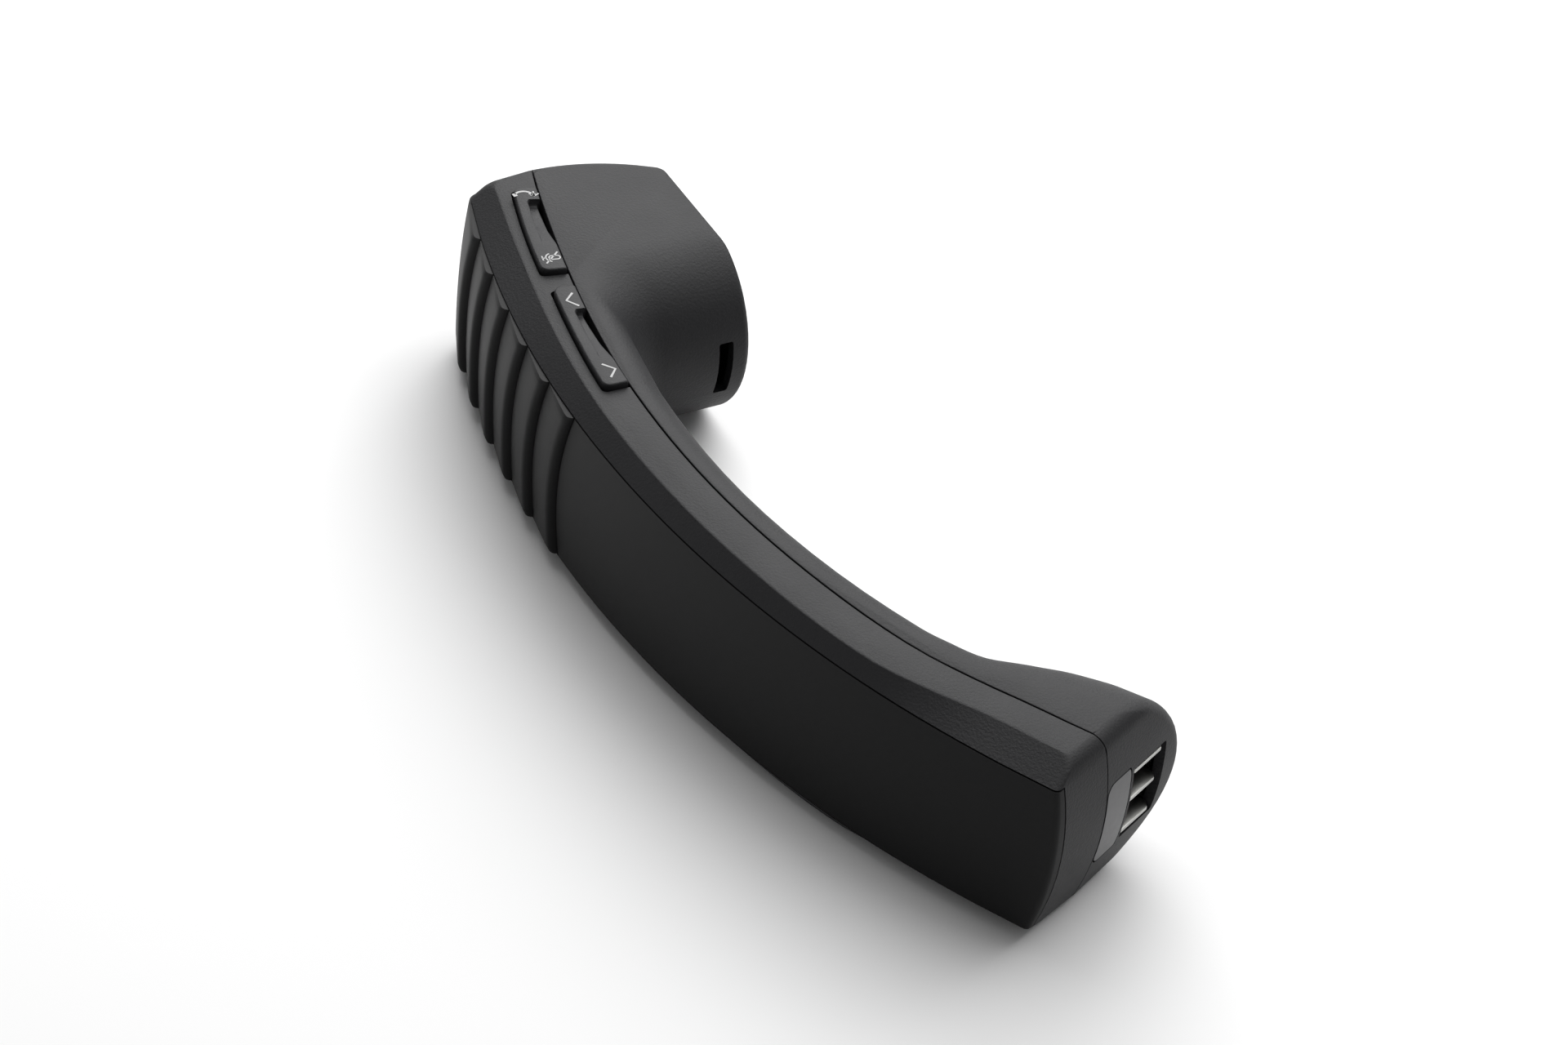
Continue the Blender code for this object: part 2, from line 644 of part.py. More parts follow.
def make_rear_shell(parts, tools, root, finish):
    shell = add("rear_shell", loft("rear_shell", rear_levels(), rear_outline), finish, parts, root)
    half = REAR_INNER_HALF
    hollow = loft("rear_hollow", [-half, -half * 0.6, 0.0, half * 0.6, half], rear_hollow_outline)
    boolean(shell, tool("rear_hollow_cutter", hollow, tools, root))
    edge = PANEL_HALF_WIDTH + FIT_GAP / 2
    pocket = loft("panel_pocket", spread(-edge, edge, 7), pocket_outline)
    boolean(shell, tool("panel_pocket_cutter", pocket, tools, root))
    for name, span in (("call_mute", CALL_MUTE_SPAN), ("volume", VOLUME_SPAN)):
        opening = prism("opening", key_outline(span, KEY_GAP, front_gap=-0.003), half - 0.002, HALF + 0.002)
        boolean(shell, tool(f"{name}_opening_cutter", opening, tools, root))
    for index, station in enumerate(SCREW_STATIONS, 1):
        frame = on_spine(station, 0.0)
        top = CAVITY_DEPTH + BOSS_SEAT_DEPTH
        boss = rod("rear_boss", BOSS_RADIUS, (0, FLOOR_DEPTH + FLOOR_THICKNESS / 2, 0), (0, top, 0), 16)
        boolean(shell, tool(f"rear_boss_{index}", boss, tools, root, frame), "UNION")
        seat = rod("screw_seat", SCREW_HEAD_RADIUS + FIT_GAP, (0, 0, 0), (0, screw_seat_depth(), 0), 14)
        boolean(shell, tool(f"seat_cutter_{index}", seat, tools, root, frame))
        bore = rod("screw_bore", SCREW_RADIUS + FIT_GAP, (0, 0, 0), (0, top + 0.001, 0), 12)
        boolean(shell, tool(f"bore_cutter_{index}", bore, tools, root, frame))
    return shell


def rear_levels():
    """Heights that catch the chamfer's edge and the round of both ends."""
    corner = HALF - END_CORNER_RADIUS
    side = [0.0, PANEL_HALF_WIDTH * 0.45, PANEL_HALF_WIDTH * 0.8, PANEL_HALF_WIDTH]
    side += [corner + END_CORNER_RADIUS * k for k in (0.35, 0.70, 0.90, 1.0)]
    return sorted({-z for z in side} | set(side))


def screw_seat_depth():
    return CAVITY_DEPTH + BOSS_SEAT_DEPTH - 0.0012


def make_back_panel(parts, root, finish):
    edge = PANEL_HALF_WIDTH - FIT_GAP / 2
    mesh = loft("back_panel", spread(-edge, edge, 9), panel_outline)
    return add("back_panel", mesh, finish, parts, root)


def cup_upright():
    """Frame of the ear cup with its own Z along the cup's axis."""
    return on_rim(0.0, 0.0) @ Matrix.Rotation(math.radians(-90.0), 4, "X")


def cup_u_outline(half, back=CUP_LIP):
    """U-shaped outline of the ear cup, seen along its axis, for a half width."""
    outline = [Vector((back, half)), Vector((back, -half))]
    for k in range(17):
        turn = math.pi * (k / 16 - 0.5)
        outline.append(Vector((RIM_STRAIGHT + half * math.cos(turn), half * math.sin(turn))))
    return outline


def make_ear_pieces(parts, tools, root, finishes):
    upright = cup_upright()
    half = HALF - CUP_LIP - FIT_GAP
    top = -EAR_CAP_SETBACK
    cap_mesh = prism("ear_cap", cup_u_outline(half, CUP_LIP + 0.0016), top - EAR_CAP_THICKNESS, top, 0.0004)
    cap = add("ear_cap", cap_mesh, finishes["moulded"], parts, root, upright)
    for ring, (count, radius) in enumerate(((1, 0.0), (6, 0.0032), (12, 0.0064))):
        for k in range(count):
            turn = 2 * math.pi * k / count
            spot = (RIM_STRAIGHT + radius * math.cos(turn), radius * math.sin(turn))
            hole = rod("sound_hole", EAR_HOLE_RADIUS, (*spot, -0.006), (*spot, 0.001), 8)
            boolean(cap, tool(f"sound_hole_{ring}_{k}", hole, tools, root, upright))
    level = top - EAR_CAP_THICKNESS - FIT_GAP
    cloth = rod("ear_cloth", 0.0095, (RIM_STRAIGHT, 0, level - 0.0003), (RIM_STRAIGHT, 0, level), 28)
    add("ear_cloth", cloth, finishes["cloth"], parts, root, upright)
    level -= 0.0003 + FIT_GAP
    add("speaker_gasket", turned("speaker_gasket", [
        (SPEAKER_RADIUS, level), (SPEAKER_RADIUS, level - 0.0012), (SPEAKER_RADIUS - 0.0022, level - 0.0012),
        (SPEAKER_RADIUS - 0.0022, level)], closed=True), finishes["foam"], parts, root,
        upright @ Matrix.Translation((RIM_STRAIGHT, 0, 0)))
    level -= 0.0012 + FIT_GAP
    add("earpiece_speaker", turned("earpiece_speaker", [
        (0.0, level - 0.0008), (0.0095, level - 0.0012), (0.0110, level), (SPEAKER_RADIUS, level),
        (SPEAKER_RADIUS, level - 0.0022), (0.0105, level - 0.0034), (0.0085, level - 0.0036),
        (0.0085, level - SPEAKER_DEPTH), (0.0, level - SPEAKER_DEPTH)]), finishes["steel"], parts, root,
        upright @ Matrix.Translation((RIM_STRAIGHT, 0, 0)))
    magnet = rod("hook_magnet", 0.0030, (0.0085, 0.0, -0.0080), (0.0085, 0.0, -0.0045), 20)
    add("hook_magnet", magnet, finishes["steel"], parts, root, upright)


def turned(name, profile, closed=False, segments=28):
    """Body turned about Z from a profile that runs from its outer top downwards."""
    bm = bmesh.new()
    verts = [bm.verts.new((radius, 0, z)) for radius, z in profile]
    edges = [bm.edges.new(pair) for pair in zip(verts[:-1], verts[1:])]
    if closed:
        edges.append(bm.edges.new((verts[-1], verts[0])))
    bmesh.ops.spin(bm, geom=verts + edges, cent=(0, 0, 0), axis=(0, 0, 1), angle=2 * math.pi,
                   steps=segments, use_merge=True)
    bmesh.ops.remove_doubles(bm, verts=bm.verts, dist=1e-6)
    return finish_mesh(bm, name)


def mic_frame(below):
    """Frame whose Z leaves the slope of the microphone cup, under its surface."""
    station = MIC_STATION
    step = 0.002
    here = spine(station, through(FRONT_LINE, station))
    ahead = spine(station + step, through(FRONT_LINE, station + step))
    along = (ahead - here).normalized()
    normal = Vector((-along.y, along.x))
    point = here - normal * below
    turn = math.atan2(normal.y, normal.x)
    return at(point, turn) @ Matrix.Rotation(math.radians(90.0), 4, "Y")


def make_mic_pieces(parts, root, finishes):
    frame = mic_frame(SHELL_WALL + MIC_SETBACK)
    add("mic_boot", turned("mic_boot", [
        (MIC_RADIUS + 0.0014, 0.0), (MIC_RADIUS + 0.0014, -MIC_HEIGHT), (MIC_RADIUS + FIT_GAP, -MIC_HEIGHT),
        (MIC_RADIUS + FIT_GAP, -0.0010), (0.0015, -0.0010), (0.0015, 0.0)], closed=True),
        finishes["rubber"], parts, root, frame)
    capsule = rod("mic_capsule", MIC_RADIUS, (0, 0, -0.0010 - FIT_GAP - MIC_HEIGHT), (0, 0, -0.0010 - FIT_GAP), 24)
    add("mic_capsule", capsule, finishes["steel"], parts, root, frame)


def label_body(name, depth, margin, outward):
    """Thin plate that follows the bulge of the microphone end."""
    half = LABEL_HALF_WIDTH + margin
    low = LABEL_START - margin
    high = LABEL_START + LABEL_LENGTH + margin
    turn = Matrix.Rotation(MIC_END_TILT, 2)

    def outline(z):
        back = plan_setback(z, MIC_END_BULGE)
        corners = [(low, back - outward), (high, back - outward), (high, back + depth), (low, back + depth)]
        return [MIC_END_POINT + turn @ Vector((-below, along)) for along, below in corners]

    return loft(name, spread(-half, half, 7), outline)


def make_window_pieces(parts, tools, root, finishes):
    add("rating_label", label_body("rating_label", LABEL_THICKNESS, 0.0, 0.0), finishes["label"], parts, root)
    middle = WINDOW_START + WINDOW_LENGTH / 2
    frame = on_mic_end(middle, 0.0)
    size = (CARRIER_DEPTH, WINDOW_LENGTH - 0.0010, WINDOW_WIDTH - 0.0004)
    centre = (-CARRIER_SETBACK - CARRIER_DEPTH / 2, -0.0012, 0)
    carrier = add("contact_carrier", box("contact_carrier", size, centre), finishes["gloss"], parts, root, frame)
    for k in range(BLADE_COUNT):
        level = (k - (BLADE_COUNT - 1) / 2) * BLADE_PITCH
        length = CARRIER_SETBACK + 0.0030 - BLADE_SETBACK
        blade = box("blade", (length, WINDOW_LENGTH - 0.0008, BLADE_THICKNESS),
                    (-BLADE_SETBACK - length / 2, 0, level))
        add(f"contact_blade_{k + 1}", blade, finishes["nickel"], parts, root, frame)
        groove = box("groove", (length + FIT_GAP, WINDOW_LENGTH - 0.0008 + 2 * FIT_GAP,
                                BLADE_THICKNESS + 2 * FIT_GAP),
                     (-BLADE_SETBACK - (length + FIT_GAP) / 2, 0, level))
        boolean(carrier, tool(f"groove_cutter_{k + 1}", groove, tools, root, frame))


def make_key(name, span, pocket_span, parts, tools, root, finish):
    """Rocking side key: its cap, retaining flange and hinge rib in one moulding, origin on its axis."""
    station, depth = key_frame_point(span)
    frame = on_spine(station, depth, PIN_LEVEL)
    to_key = frame.inverted()
    cap = prism(name, key_outline(span, 0.0, front_gap=KEY_GAP), FLANGE_TOP - 0.0001, KEY_TOP, 0.0006)
    cap.transform(to_key)
    key = add(name, cap, finish, parts, root, frame)
    flange = prism("flange", key_outline(span, KEY_FLANGE, front_gap=KEY_GAP), FLANGE_BOTTOM, FLANGE_TOP)
    boolean(key, tool(f"{name}_flange", flange, tools, root), "UNION")
    rib_low = -PIN_RADIUS - 0.0006
    rib_high = FLANGE_BOTTOM - PIN_LEVEL + 0.0003
    rib = box("rib", (0.0030, 0.0026, rib_high - rib_low), (0, 0, (rib_high + rib_low) / 2))
    boolean(key, tool(f"{name}_rib", rib, tools, root, frame), "UNION")
    bore = rod("bore", PIN_RADIUS + PIN_CLEARANCE, (0, -0.004, 0), (0, 0.004, 0), 20)
    boolean(key, tool(f"{name}_bore", bore, tools, root, frame))
    pocket = prism("pocket", pocket_in_key(pocket_span), KEY_TOP - KEY_POCKET_DEPTH, KEY_TOP + 0.001)
    boolean(key, tool(f"{name}_finger_pocket", pocket, tools, root), solver="MANIFOLD")


def make_key_mechanism(index, name, span, parts, tools, root, finishes):
    station, depth = key_frame_point(span)
    frame = on_spine(station, depth, PIN_LEVEL)
    pin = rod("pin", PIN_RADIUS, (0, -PIN_LENGTH / 2, 0), (0, PIN_LENGTH / 2, 0), 20)
    add(f"key_pin_{index}", pin, finishes["nickel"], parts, root, frame)
    base_low = KEY_BOARD_TOP + FIT_GAP - PIN_LEVEL
    saddle = box("saddle", (0.0034, PIN_LENGTH, 0.0008), (0, 0, base_low + 0.0004))
    piece = add(f"key_saddle_{index}", saddle, finishes["moulded"], parts, root, frame)
    for side in (-1, 1):
        high = PIN_RADIUS + 0.0006
        ear = box("ear", (0.0030, 0.0010, high - base_low),
                  (0, side * (PIN_LENGTH / 2 - 0.0005), (high + base_low) / 2))
        boolean(piece, tool(f"{name}_saddle_ear_{side + 2}", ear, tools, root, frame), "UNION")
    bore = rod("bore", PIN_RADIUS + PIN_CLEARANCE, (0, -0.004, 0), (0, 0.004, 0), 20)
    boolean(piece, tool(f"{name}_saddle_bore", bore, tools, root, frame))
    for side in (-1, 1):
        number = 2 * index - 1 if side < 0 else 2 * index
        spot = on_spine(station + side * SWITCH_ARM, depth, 0.0)
        body = box("switch", (SWITCH_SIZE, SWITCH_SIZE, SWITCH_HEIGHT), (0, 0, SWITCH_TOP - SWITCH_HEIGHT / 2))
        switch = add(f"tact_switch_{number}", body, finishes["gloss"], parts, root, spot)
        low = PLUNGER_TOP - PLUNGER_HEIGHT
        well = rod("well", PLUNGER_RADIUS + 0.0002, (0, 0, low - 0.0004), (0, 0, SWITCH_TOP + 0.001), 16)
        boolean(switch, tool(f"plunger_well_{number}", well, tools, root, spot))
        lifted = spot @ Matrix.Translation((0, 0, PLUNGER_TOP))
        plunger = rod("plunger", PLUNGER_RADIUS, (0, 0, -PLUNGER_HEIGHT), (0, 0, 0), 16)
        add(f"switch_plunger_{number}", plunger, finishes["moulded"], parts, root, lifted)


def make_key_board(parts, root, finish):
    span = (CALL_MUTE_SPAN[0] + 0.003, VOLUME_SPAN[1] - 0.001)
    stations = spread(*span, 16)
    outline = [spine(s, through(KEY_BACK_LINE, s) + 0.0001) for s in stations]
    outline += [spine(s, through(PARTING_LINE, s) - 0.0003) for s in reversed(stations)]
    mesh = prism("side_key_board", outline, KEY_BOARD_TOP - BOARD_THICKNESS, KEY_BOARD_TOP)
    add("side_key_board", mesh, finish, parts, root)


def make_electronics(parts, root, finishes):
    deck = on_spine(0.0530, 0.0090)
    add("main_board", box("main_board", (0.0620, BOARD_THICKNESS, 0.0340)), finishes["board"], parts, root, deck)
    seat = BOARD_THICKNESS / 2 + FIT_GAP

    def on_deck(name, size, x, z, finish):
        mesh = box(name, size, (x, seat + size[1] / 2, z))
        add(name, mesh, finish, parts, root, deck)

    on_deck("radio_shield", (0.0160, 0.0024, 0.0180), 0.0140, 0.0, finishes["nickel"])
    on_deck("processor_chip", (0.0080, 0.0010, 0.0080), -0.0060, 0.0050, finishes["gloss"])
    on_deck("memory_chip", (0.0060, 0.0009, 0.0050), -0.0060, -0.0070, finishes["gloss"])
    on_deck("battery_socket", (0.0040, 0.0032, 0.0070), -0.0260, 0.0, finishes["socket"])
    on_deck("antenna", (0.0030, 0.0008, 0.0220), 0.0270, 0.0, finishes["nickel"])
    tray = on_spine(-0.0120, 0.0)
    add("battery", box("battery", (0.0400, 0.0058, 0.0300), (0, 0.0092, 0)), finishes["silver"], parts, root, tray)
    add("battery_pad", box("battery_pad", (0.0320, 0.0012, 0.0240), (0, 0.0130, 0)), finishes["foam"], parts,
        root, tray)
    add("ballast_weight", box("ballast_weight", (0.0380, 0.0030, 0.0220), (0, 0.0155, 0)), finishes["steel"],
        parts, root, tray)


def make_screws(parts, root, finish):
    top = screw_seat_depth() - FIT_GAP
    profile = [(0.0, top - SCREW_HEAD_HEIGHT), (SCREW_HEAD_RADIUS * 0.7, top - SCREW_HEAD_HEIGHT),
               (SCREW_HEAD_RADIUS, top - SCREW_HEAD_HEIGHT * 0.6), (SCREW_HEAD_RADIUS, top),
               (SCREW_RADIUS, top), (SCREW_RADIUS, top + SCREW_LENGTH - 0.0012), (0.0, top + SCREW_LENGTH)]
    upright = Matrix.Rotation(math.radians(-90.0), 4, "X")
    mesh = turned("housing_screw", profile, segments=14)
    for index, station in enumerate(SCREW_STATIONS, 1):
        add(f"housing_screw_{index}", mesh, finish, parts, root, on_spine(station, 0.0) @ upright)


def lead(name, points, radius, finish, parts, root):
    """Round lead along a smooth run of points."""
    curve = bpy.data.curves.new(name, "CURVE")
    curve.dimensions = "3D"
    curve.bevel_depth = radius
    curve.bevel_resolution = 2
    curve.use_fill_caps = True
    line = curve.splines.new("POLY")
    steps = 5
    smooth = []
    for i in range(len(points) - 1):
        before = points[max(i - 1, 0)]
        after = points[min(i + 2, len(points) - 1)]
        for k in range(steps):
            t = k / steps
            start = (points[i + 1] - before) / 2
            end = (after - points[i]) / 2
            rise = points[i + 1] - points[i]
            smooth.append(points[i] + t * (start + t * ((3 * rise - 2 * start - end)
                                                        + t * (start + end - 2 * rise))))
    smooth.append(points[-1])
    line.points.add(len(smooth) - 1)
    for spot, point in zip(line.points, smooth):
        spot.co = (*point, 1.0)
    curve.materials.append(finish)
    made = bpy.data.objects.new(name, curve)
    parts.objects.link(made)
    made.parent = root


def make_leads(parts, root, finishes):
    def run(stops):
        return [Vector((*spine(s, d), z)) for s, d, z in stops]

    side = -0.0160
    lead("earpiece_lead", run([(-0.0760, 0.0370, -0.0060), (-0.0730, 0.0300, -0.0100), (-0.0640, 0.0180, -0.0145),
                               (-0.0450, 0.0125, side), (-0.0120, 0.0125, -0.0172), (0.0160, 0.0130, side),
                               (0.0240, 0.0118, -0.0140)]), 0.0006, finishes["red"], parts, root)
    lead("battery_lead", run([(0.0092, 0.0120, 0.0060), (0.0140, 0.0135, 0.0068), (0.0200, 0.0138, 0.0060),
                              (0.0240, 0.0118, 0.0048)]), 0.0006, finishes["red"], parts, root)
    lead("microphone_lead", run([(0.0865, 0.0245, -0.0040), (0.0840, 0.0200, -0.0090), (0.0790, 0.0150, -0.0130),
                                 (0.0700, 0.0115, -0.0140)]), 0.0006, finishes["black"], parts, root)
    lead("charging_lead", run([(0.1010, 0.0250, 0.0070), (0.0960, 0.0210, 0.0105), (0.0860, 0.0150, 0.0140),
                               (0.0760, 0.0110, 0.0140)]), 0.0006, finishes["black"], parts, root)


def stand_on_side(root, parts):
    """Put the middle of the lower side's box at the origin."""
    bpy.context.view_layer.update()
    graph = bpy.context.evaluated_depsgraph_get()
    points = []
    for piece in parts.objects:
        seen = piece.evaluated_get(graph)
        points += [piece.matrix_world @ v.co for v in seen.to_mesh().vertices]
        seen.to_mesh_clear()
    low = [min(p[axis] for p in points) for axis in range(3)]
    high = [max(p[axis] for p in points) for axis in range(3)]
    root.location = (-(low[0] + high[0]) / 2, -(low[1] + high[1]) / 2, -low[2])
    bpy.context.view_layer.update()


def main():
    clear_scene()
    parts = collection("cordless_handset")
    tools = collection("handset_cutters")
    root = bpy.data.objects.new("handset_origin", None)
    bpy.context.scene.collection.objects.link(root)
    finishes = {
        "case": material("case_black", 0.028, 0.028, 0.030, 0.55),
        "panel": material("panel_satin_black", 0.018, 0.018, 0.020, 0.45),
        "key": material("key_black", 0.032, 0.032, 0.034, 0.55),
        "moulded": material("moulded_black", 0.020, 0.020, 0.021, 0.50),
        "gloss": material("gloss_black", 0.010, 0.010, 0.011, 0.20),
        "label": material("label_grey", 0.240, 0.240, 0.245, 0.50),
        "socket": material("socket_ivory", *SOCKET_IVORY, 0.50),
        "nickel": material("nickel", 0.620, 0.600, 0.570, 0.28, 1.0),
        "steel": material("steel", 0.420, 0.420, 0.430, 0.35, 1.0),
        "silver": material("battery_foil", 0.560, 0.570, 0.580, 0.40, 0.6),
        "board": material("board_green", 0.020, 0.120, 0.050, 0.45),
        "foam": material("foam_dark", 0.050, 0.050, 0.052, 0.95),
        "rubber": material("rubber_black", 0.022, 0.022, 0.022, 0.80),
        "cloth": material("acoustic_cloth", 0.014, 0.014, 0.015, 0.90),
        "red": material("lead_red", 0.380, 0.025, 0.020, 0.50),
        "black": material("lead_black", 0.020, 0.020, 0.020, 0.50),
    }
    make_front_shell(parts, tools, root, finishes["case"])
    make_rear_shell(parts, tools, root, finishes["case"])
    make_back_panel(parts, root, finishes["panel"])
    make_ear_pieces(parts, tools, root, finishes)
    make_mic_pieces(parts, root, finishes)
    make_window_pieces(parts, tools, root, finishes)
    keys = (("call_mute_key", CALL_MUTE_SPAN, CALL_MUTE_POCKET), ("volume_key", VOLUME_SPAN, VOLUME_POCKET))
    for index, (name, span, pocket_span) in enumerate(keys, 1):
        make_key(name, span, pocket_span, parts, tools, root, finishes["key"])
        make_key_mechanism(index, name, span, parts, tools, root, finishes)
    make_key_board(parts, root, finishes["board"])
    make_electronics(parts, root, finishes)
    make_screws(parts, root, finishes["steel"])
    make_leads(parts, root, finishes)
    stand_on_side(root, parts)


main()
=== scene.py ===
"""Finished surfaces, materials and stage of a cordless desk-phone handset.

The handset lies on its side.  Its side view is drawn in the XY plane about the
lowest point of the curved back, and its width runs along Z.
"""
import math

import bmesh
import bpy
from mathutils import Matrix, Vector


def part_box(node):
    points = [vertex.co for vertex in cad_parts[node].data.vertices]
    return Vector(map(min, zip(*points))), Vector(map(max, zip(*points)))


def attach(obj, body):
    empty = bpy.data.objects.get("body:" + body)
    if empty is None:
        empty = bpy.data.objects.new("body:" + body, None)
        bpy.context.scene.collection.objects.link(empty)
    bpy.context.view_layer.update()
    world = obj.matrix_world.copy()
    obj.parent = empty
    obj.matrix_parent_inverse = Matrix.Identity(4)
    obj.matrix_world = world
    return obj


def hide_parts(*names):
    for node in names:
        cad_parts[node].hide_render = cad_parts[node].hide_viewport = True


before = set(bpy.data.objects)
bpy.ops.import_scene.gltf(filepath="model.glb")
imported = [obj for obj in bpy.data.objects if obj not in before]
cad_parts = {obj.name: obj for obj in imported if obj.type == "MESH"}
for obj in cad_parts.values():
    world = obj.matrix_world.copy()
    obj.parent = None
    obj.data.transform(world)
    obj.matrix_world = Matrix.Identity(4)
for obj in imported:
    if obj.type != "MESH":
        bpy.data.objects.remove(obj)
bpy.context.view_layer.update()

bl_info = {
    "name": "Cordless Handset",
    "version": (1, 0, 0),
    "blender": (4, 5, 0),
    "location": "View3D > Sidebar > Handset",
    "description": "Builds the finished surfaces of a cordless desk-phone handset on its working frame",
    "category": "Add Mesh",
}

# ---------------------------------------------------------------- sizes shared with the frame, in metres
SHELL_LOW, SHELL_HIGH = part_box("front_shell")
KEY_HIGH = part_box("call_mute_key")[1]
WIDTH = SHELL_HIGH.z - SHELL_LOW.z
HALF = WIDTH / 2
BACK_RADIUS = 0.2556
RIDGE_HEIGHT = 0.0015
PANEL_CROWN = 0.0007
# the drawing's own origin: the lowest point of the back, on the middle plane
ORIGIN = Vector((0.0016959, -0.0332221, SHELL_LOW.z + HALF))
FIT_GAP = 0.0003
SHELL_WALL = 0.0022

# lines along the back: (distance along the back arc, depth in front of it)
PARTING_LINE = [(-0.125, 0.0141), (-0.095, 0.0149), (-0.074, 0.0149), (-0.035, 0.0136), (0.003, 0.0126),
                (0.036, 0.0123), (0.064, 0.0124), (0.080, 0.0138), (0.094, 0.0152), (0.125, 0.0160)]
CHAMFER_LINE = [(-0.125, 0.0040), (-0.102, 0.0056), (-0.077, 0.0060), (-0.031, 0.0043), (0.026, 0.0032),
                (0.061, 0.0028), (0.075, 0.0048), (0.090, 0.0070), (0.125, 0.0068)]
FRONT_LINE = [(-0.080, 0.0245), (-0.030, 0.0223), (0.000, 0.0214), (0.028, 0.0216), (0.053, 0.0224),
              (0.066, 0.0234), (0.075, 0.0266), (0.084, 0.0348), (0.092, 0.0412), (0.100, 0.0442),
              (0.112, 0.0454), (0.125, 0.0456)]
KEY_BACK_LINE = [(-0.110, 0.0087), (-0.075, 0.0088), (-0.070, 0.0092), (-0.036, 0.0075)]

GRIP_CORNER_ACROSS = 0.0085
GRIP_CORNER_DEEP = 0.0080
NOSE_CORNER_DEEP = 0.0215
NOSE_BLEND = (0.066, 0.098)
RIM_CORNER = Vector((-0.1018, 0.0679))
RIM_TILT = math.radians(-6.54)
RIM_STRAIGHT = 0.0293
RIM_EDGE_RADIUS = 0.0018
CUP_FILLET = 0.0120
CUP_LIP = 0.0026
MOUTH_DEPTH = 0.0085
MOUTH_REACH = 0.0200
EAR_END_CENTRE = Vector((-0.0567, 0.0330))
EAR_END_RADIUS = 0.0543
EAR_CORNER_RADIUS = 0.0030
HEEL_RADIUS = 0.0036
EAR_END_BULGE = 0.0018
MIC_END_BULGE = 0.0036
END_CORNER_RADIUS = 0.0030
MIC_END_STATION = 0.1100
BACK_SPAN = (-0.0980, 0.0960)
MIC_END_POINT = Vector((0.1036, 0.0384))
MIC_END_TILT = math.radians(18.0)
MIC_END_REAR_TILT = math.radians(14.0)
NOSE_EDGE_RADIUS = 0.0034
# stretches of the front shell's outline between its corners
NOSE_STATIONS = (0.102, 0.060)
GRIP_STATIONS = (0.052, -0.036)
NOSE_FACE_SHARES = (0.2, 0.4, 0.6)
EAR_FACE_SHARES = (0.88, 0.08)
EAR_TOP_DROP = 0.0020

PANEL_HALF_WIDTH = 0.01875
PANEL_THICKNESS = 0.0020
PANEL_TOP_DEPTH = 0.0105
PANEL_END_ROUND = 0.0014
RIDGE_COUNT = 6
RIDGE_PITCH = 0.01266
RIDGE_LAST = -0.0336
RIDGE_SAG = 0.0026
RIDGE_TIP_RUN = 0.0012
RIDGE_TIP_DROP = 0.30
POCKET_OVERCUT = 0.0040
FLOOR_THICKNESS = 0.0018
REAR_INNER_HALF = HALF - 0.0025
REAR_EDGE_ROUND = 0.0005
SEAM_REACH = 0.0006
# how far a cutter reaches past the face that it opens
CUT_PAST = 0.0020
HOLLOW_PAST = 0.0030

CALL_MUTE_SPAN = (-0.1086, -0.0775)
VOLUME_SPAN = (-0.0712, -0.0355)
CALL_MUTE_POCKET = (-0.1040, -0.0868)
VOLUME_POCKET = (-0.0626, -0.0440)
KEY_TOP = KEY_HIGH.z - ORIGIN.z
KEY_GAP = 0.00035
KEY_CORNER = 0.0020
KEY_FRONT_CORNER = 0.0004
KEY_OPENING_PAST = 0.0030
FLANGE_BELOW_WALL = 0.0006
FLANGE_THICKNESS = 0.0008
FLANGE_MARGIN = 0.0007
FLANGE_OVERLAP = 0.0001
POCKET_MARGIN = 0.0026
POCKET_DEPTH = 0.0018
POCKET_WALL_RUN = 0.0010
POCKET_OPENING = 0.0006
POCKET_CORNER = 0.0012
POCKET_LIP = 0.0003
MARK_RAISE = 0.00006

WINDOW_WIDTH = 0.0190
WINDOW_LENGTH = 0.0120
WINDOW_START = 0.0105
WINDOW_CORNER = 0.0007
WINDOW_CUT = 0.0100
BLADE_COUNT = 3
BLADE_PITCH = 0.0082
BLADE_THICKNESS = 0.0009
BLADE_CLEARANCE = 0.0004
BLADE_ROOT = 0.0024
BLADE_EDGE_ROUND = 0.00012
WELL_MARGIN = (0.0008, 0.0016)
WELL_DROP = 0.0002
WELL_CORNER = 0.0004
WELL_LINING = (0.0006, 0.0004)
WELL_MOUTH_CORNER = 0.0006
GROOVE_DEPTH = 0.0100
GROOVE_SETBACK = 0.0026
CARRIER_SETBACK = 0.0046
CARRIER_DEPTH = 0.0040
SLOT_WIDTH = 0.0136
SLOT_HEIGHT = 0.0035
SLOT_CORNER = 0.0005
SLOT_CUT = 0.0120
SLOT_BELOW_RIM = 0.0062
LABEL_THICKNESS = 0.00025
LABEL_START = 0.0012
LABEL_LENGTH = 0.0083
LABEL_HALF_WIDTH = 0.0105
LABEL_CORNER = 0.0025
LABEL_TOP_TRIM = 0.3
EAR_CAP_THICKNESS = 0.0016
EAR_CAP_SETBACK = 0.0010
EAR_CAP_ROUND = 0.0005
EAR_HOLE_RADIUS = 0.0008
EAR_HOLE_PITCH = 0.0032
EAR_HOLE_ENDS = (-0.0060, 0.0010)
MIC_STATION = 0.0785
MIC_HOLE_RADIUS = 0.0006
MIC_HOLE_ENDS = (-0.0040, 0.0060)
FLOOR_DEPTH = PANEL_THICKNESS + FIT_GAP
CAVITY_DEPTH = FLOOR_DEPTH + FLOOR_THICKNESS

# where the meeting points of the ear end and of the cup's wall are looked for
EAR_SEARCH = (-0.150, -0.060)
FOOT_SEARCH = (0.0, 0.070)

SHARP_ANGLE = math.radians(38.0)
PANEL_SHARP_ANGLE = math.radians(30.0)
SIDE_EDGE_ANGLE = math.radians(25.0)


# ---------------------------------------------------------------- what a user may change


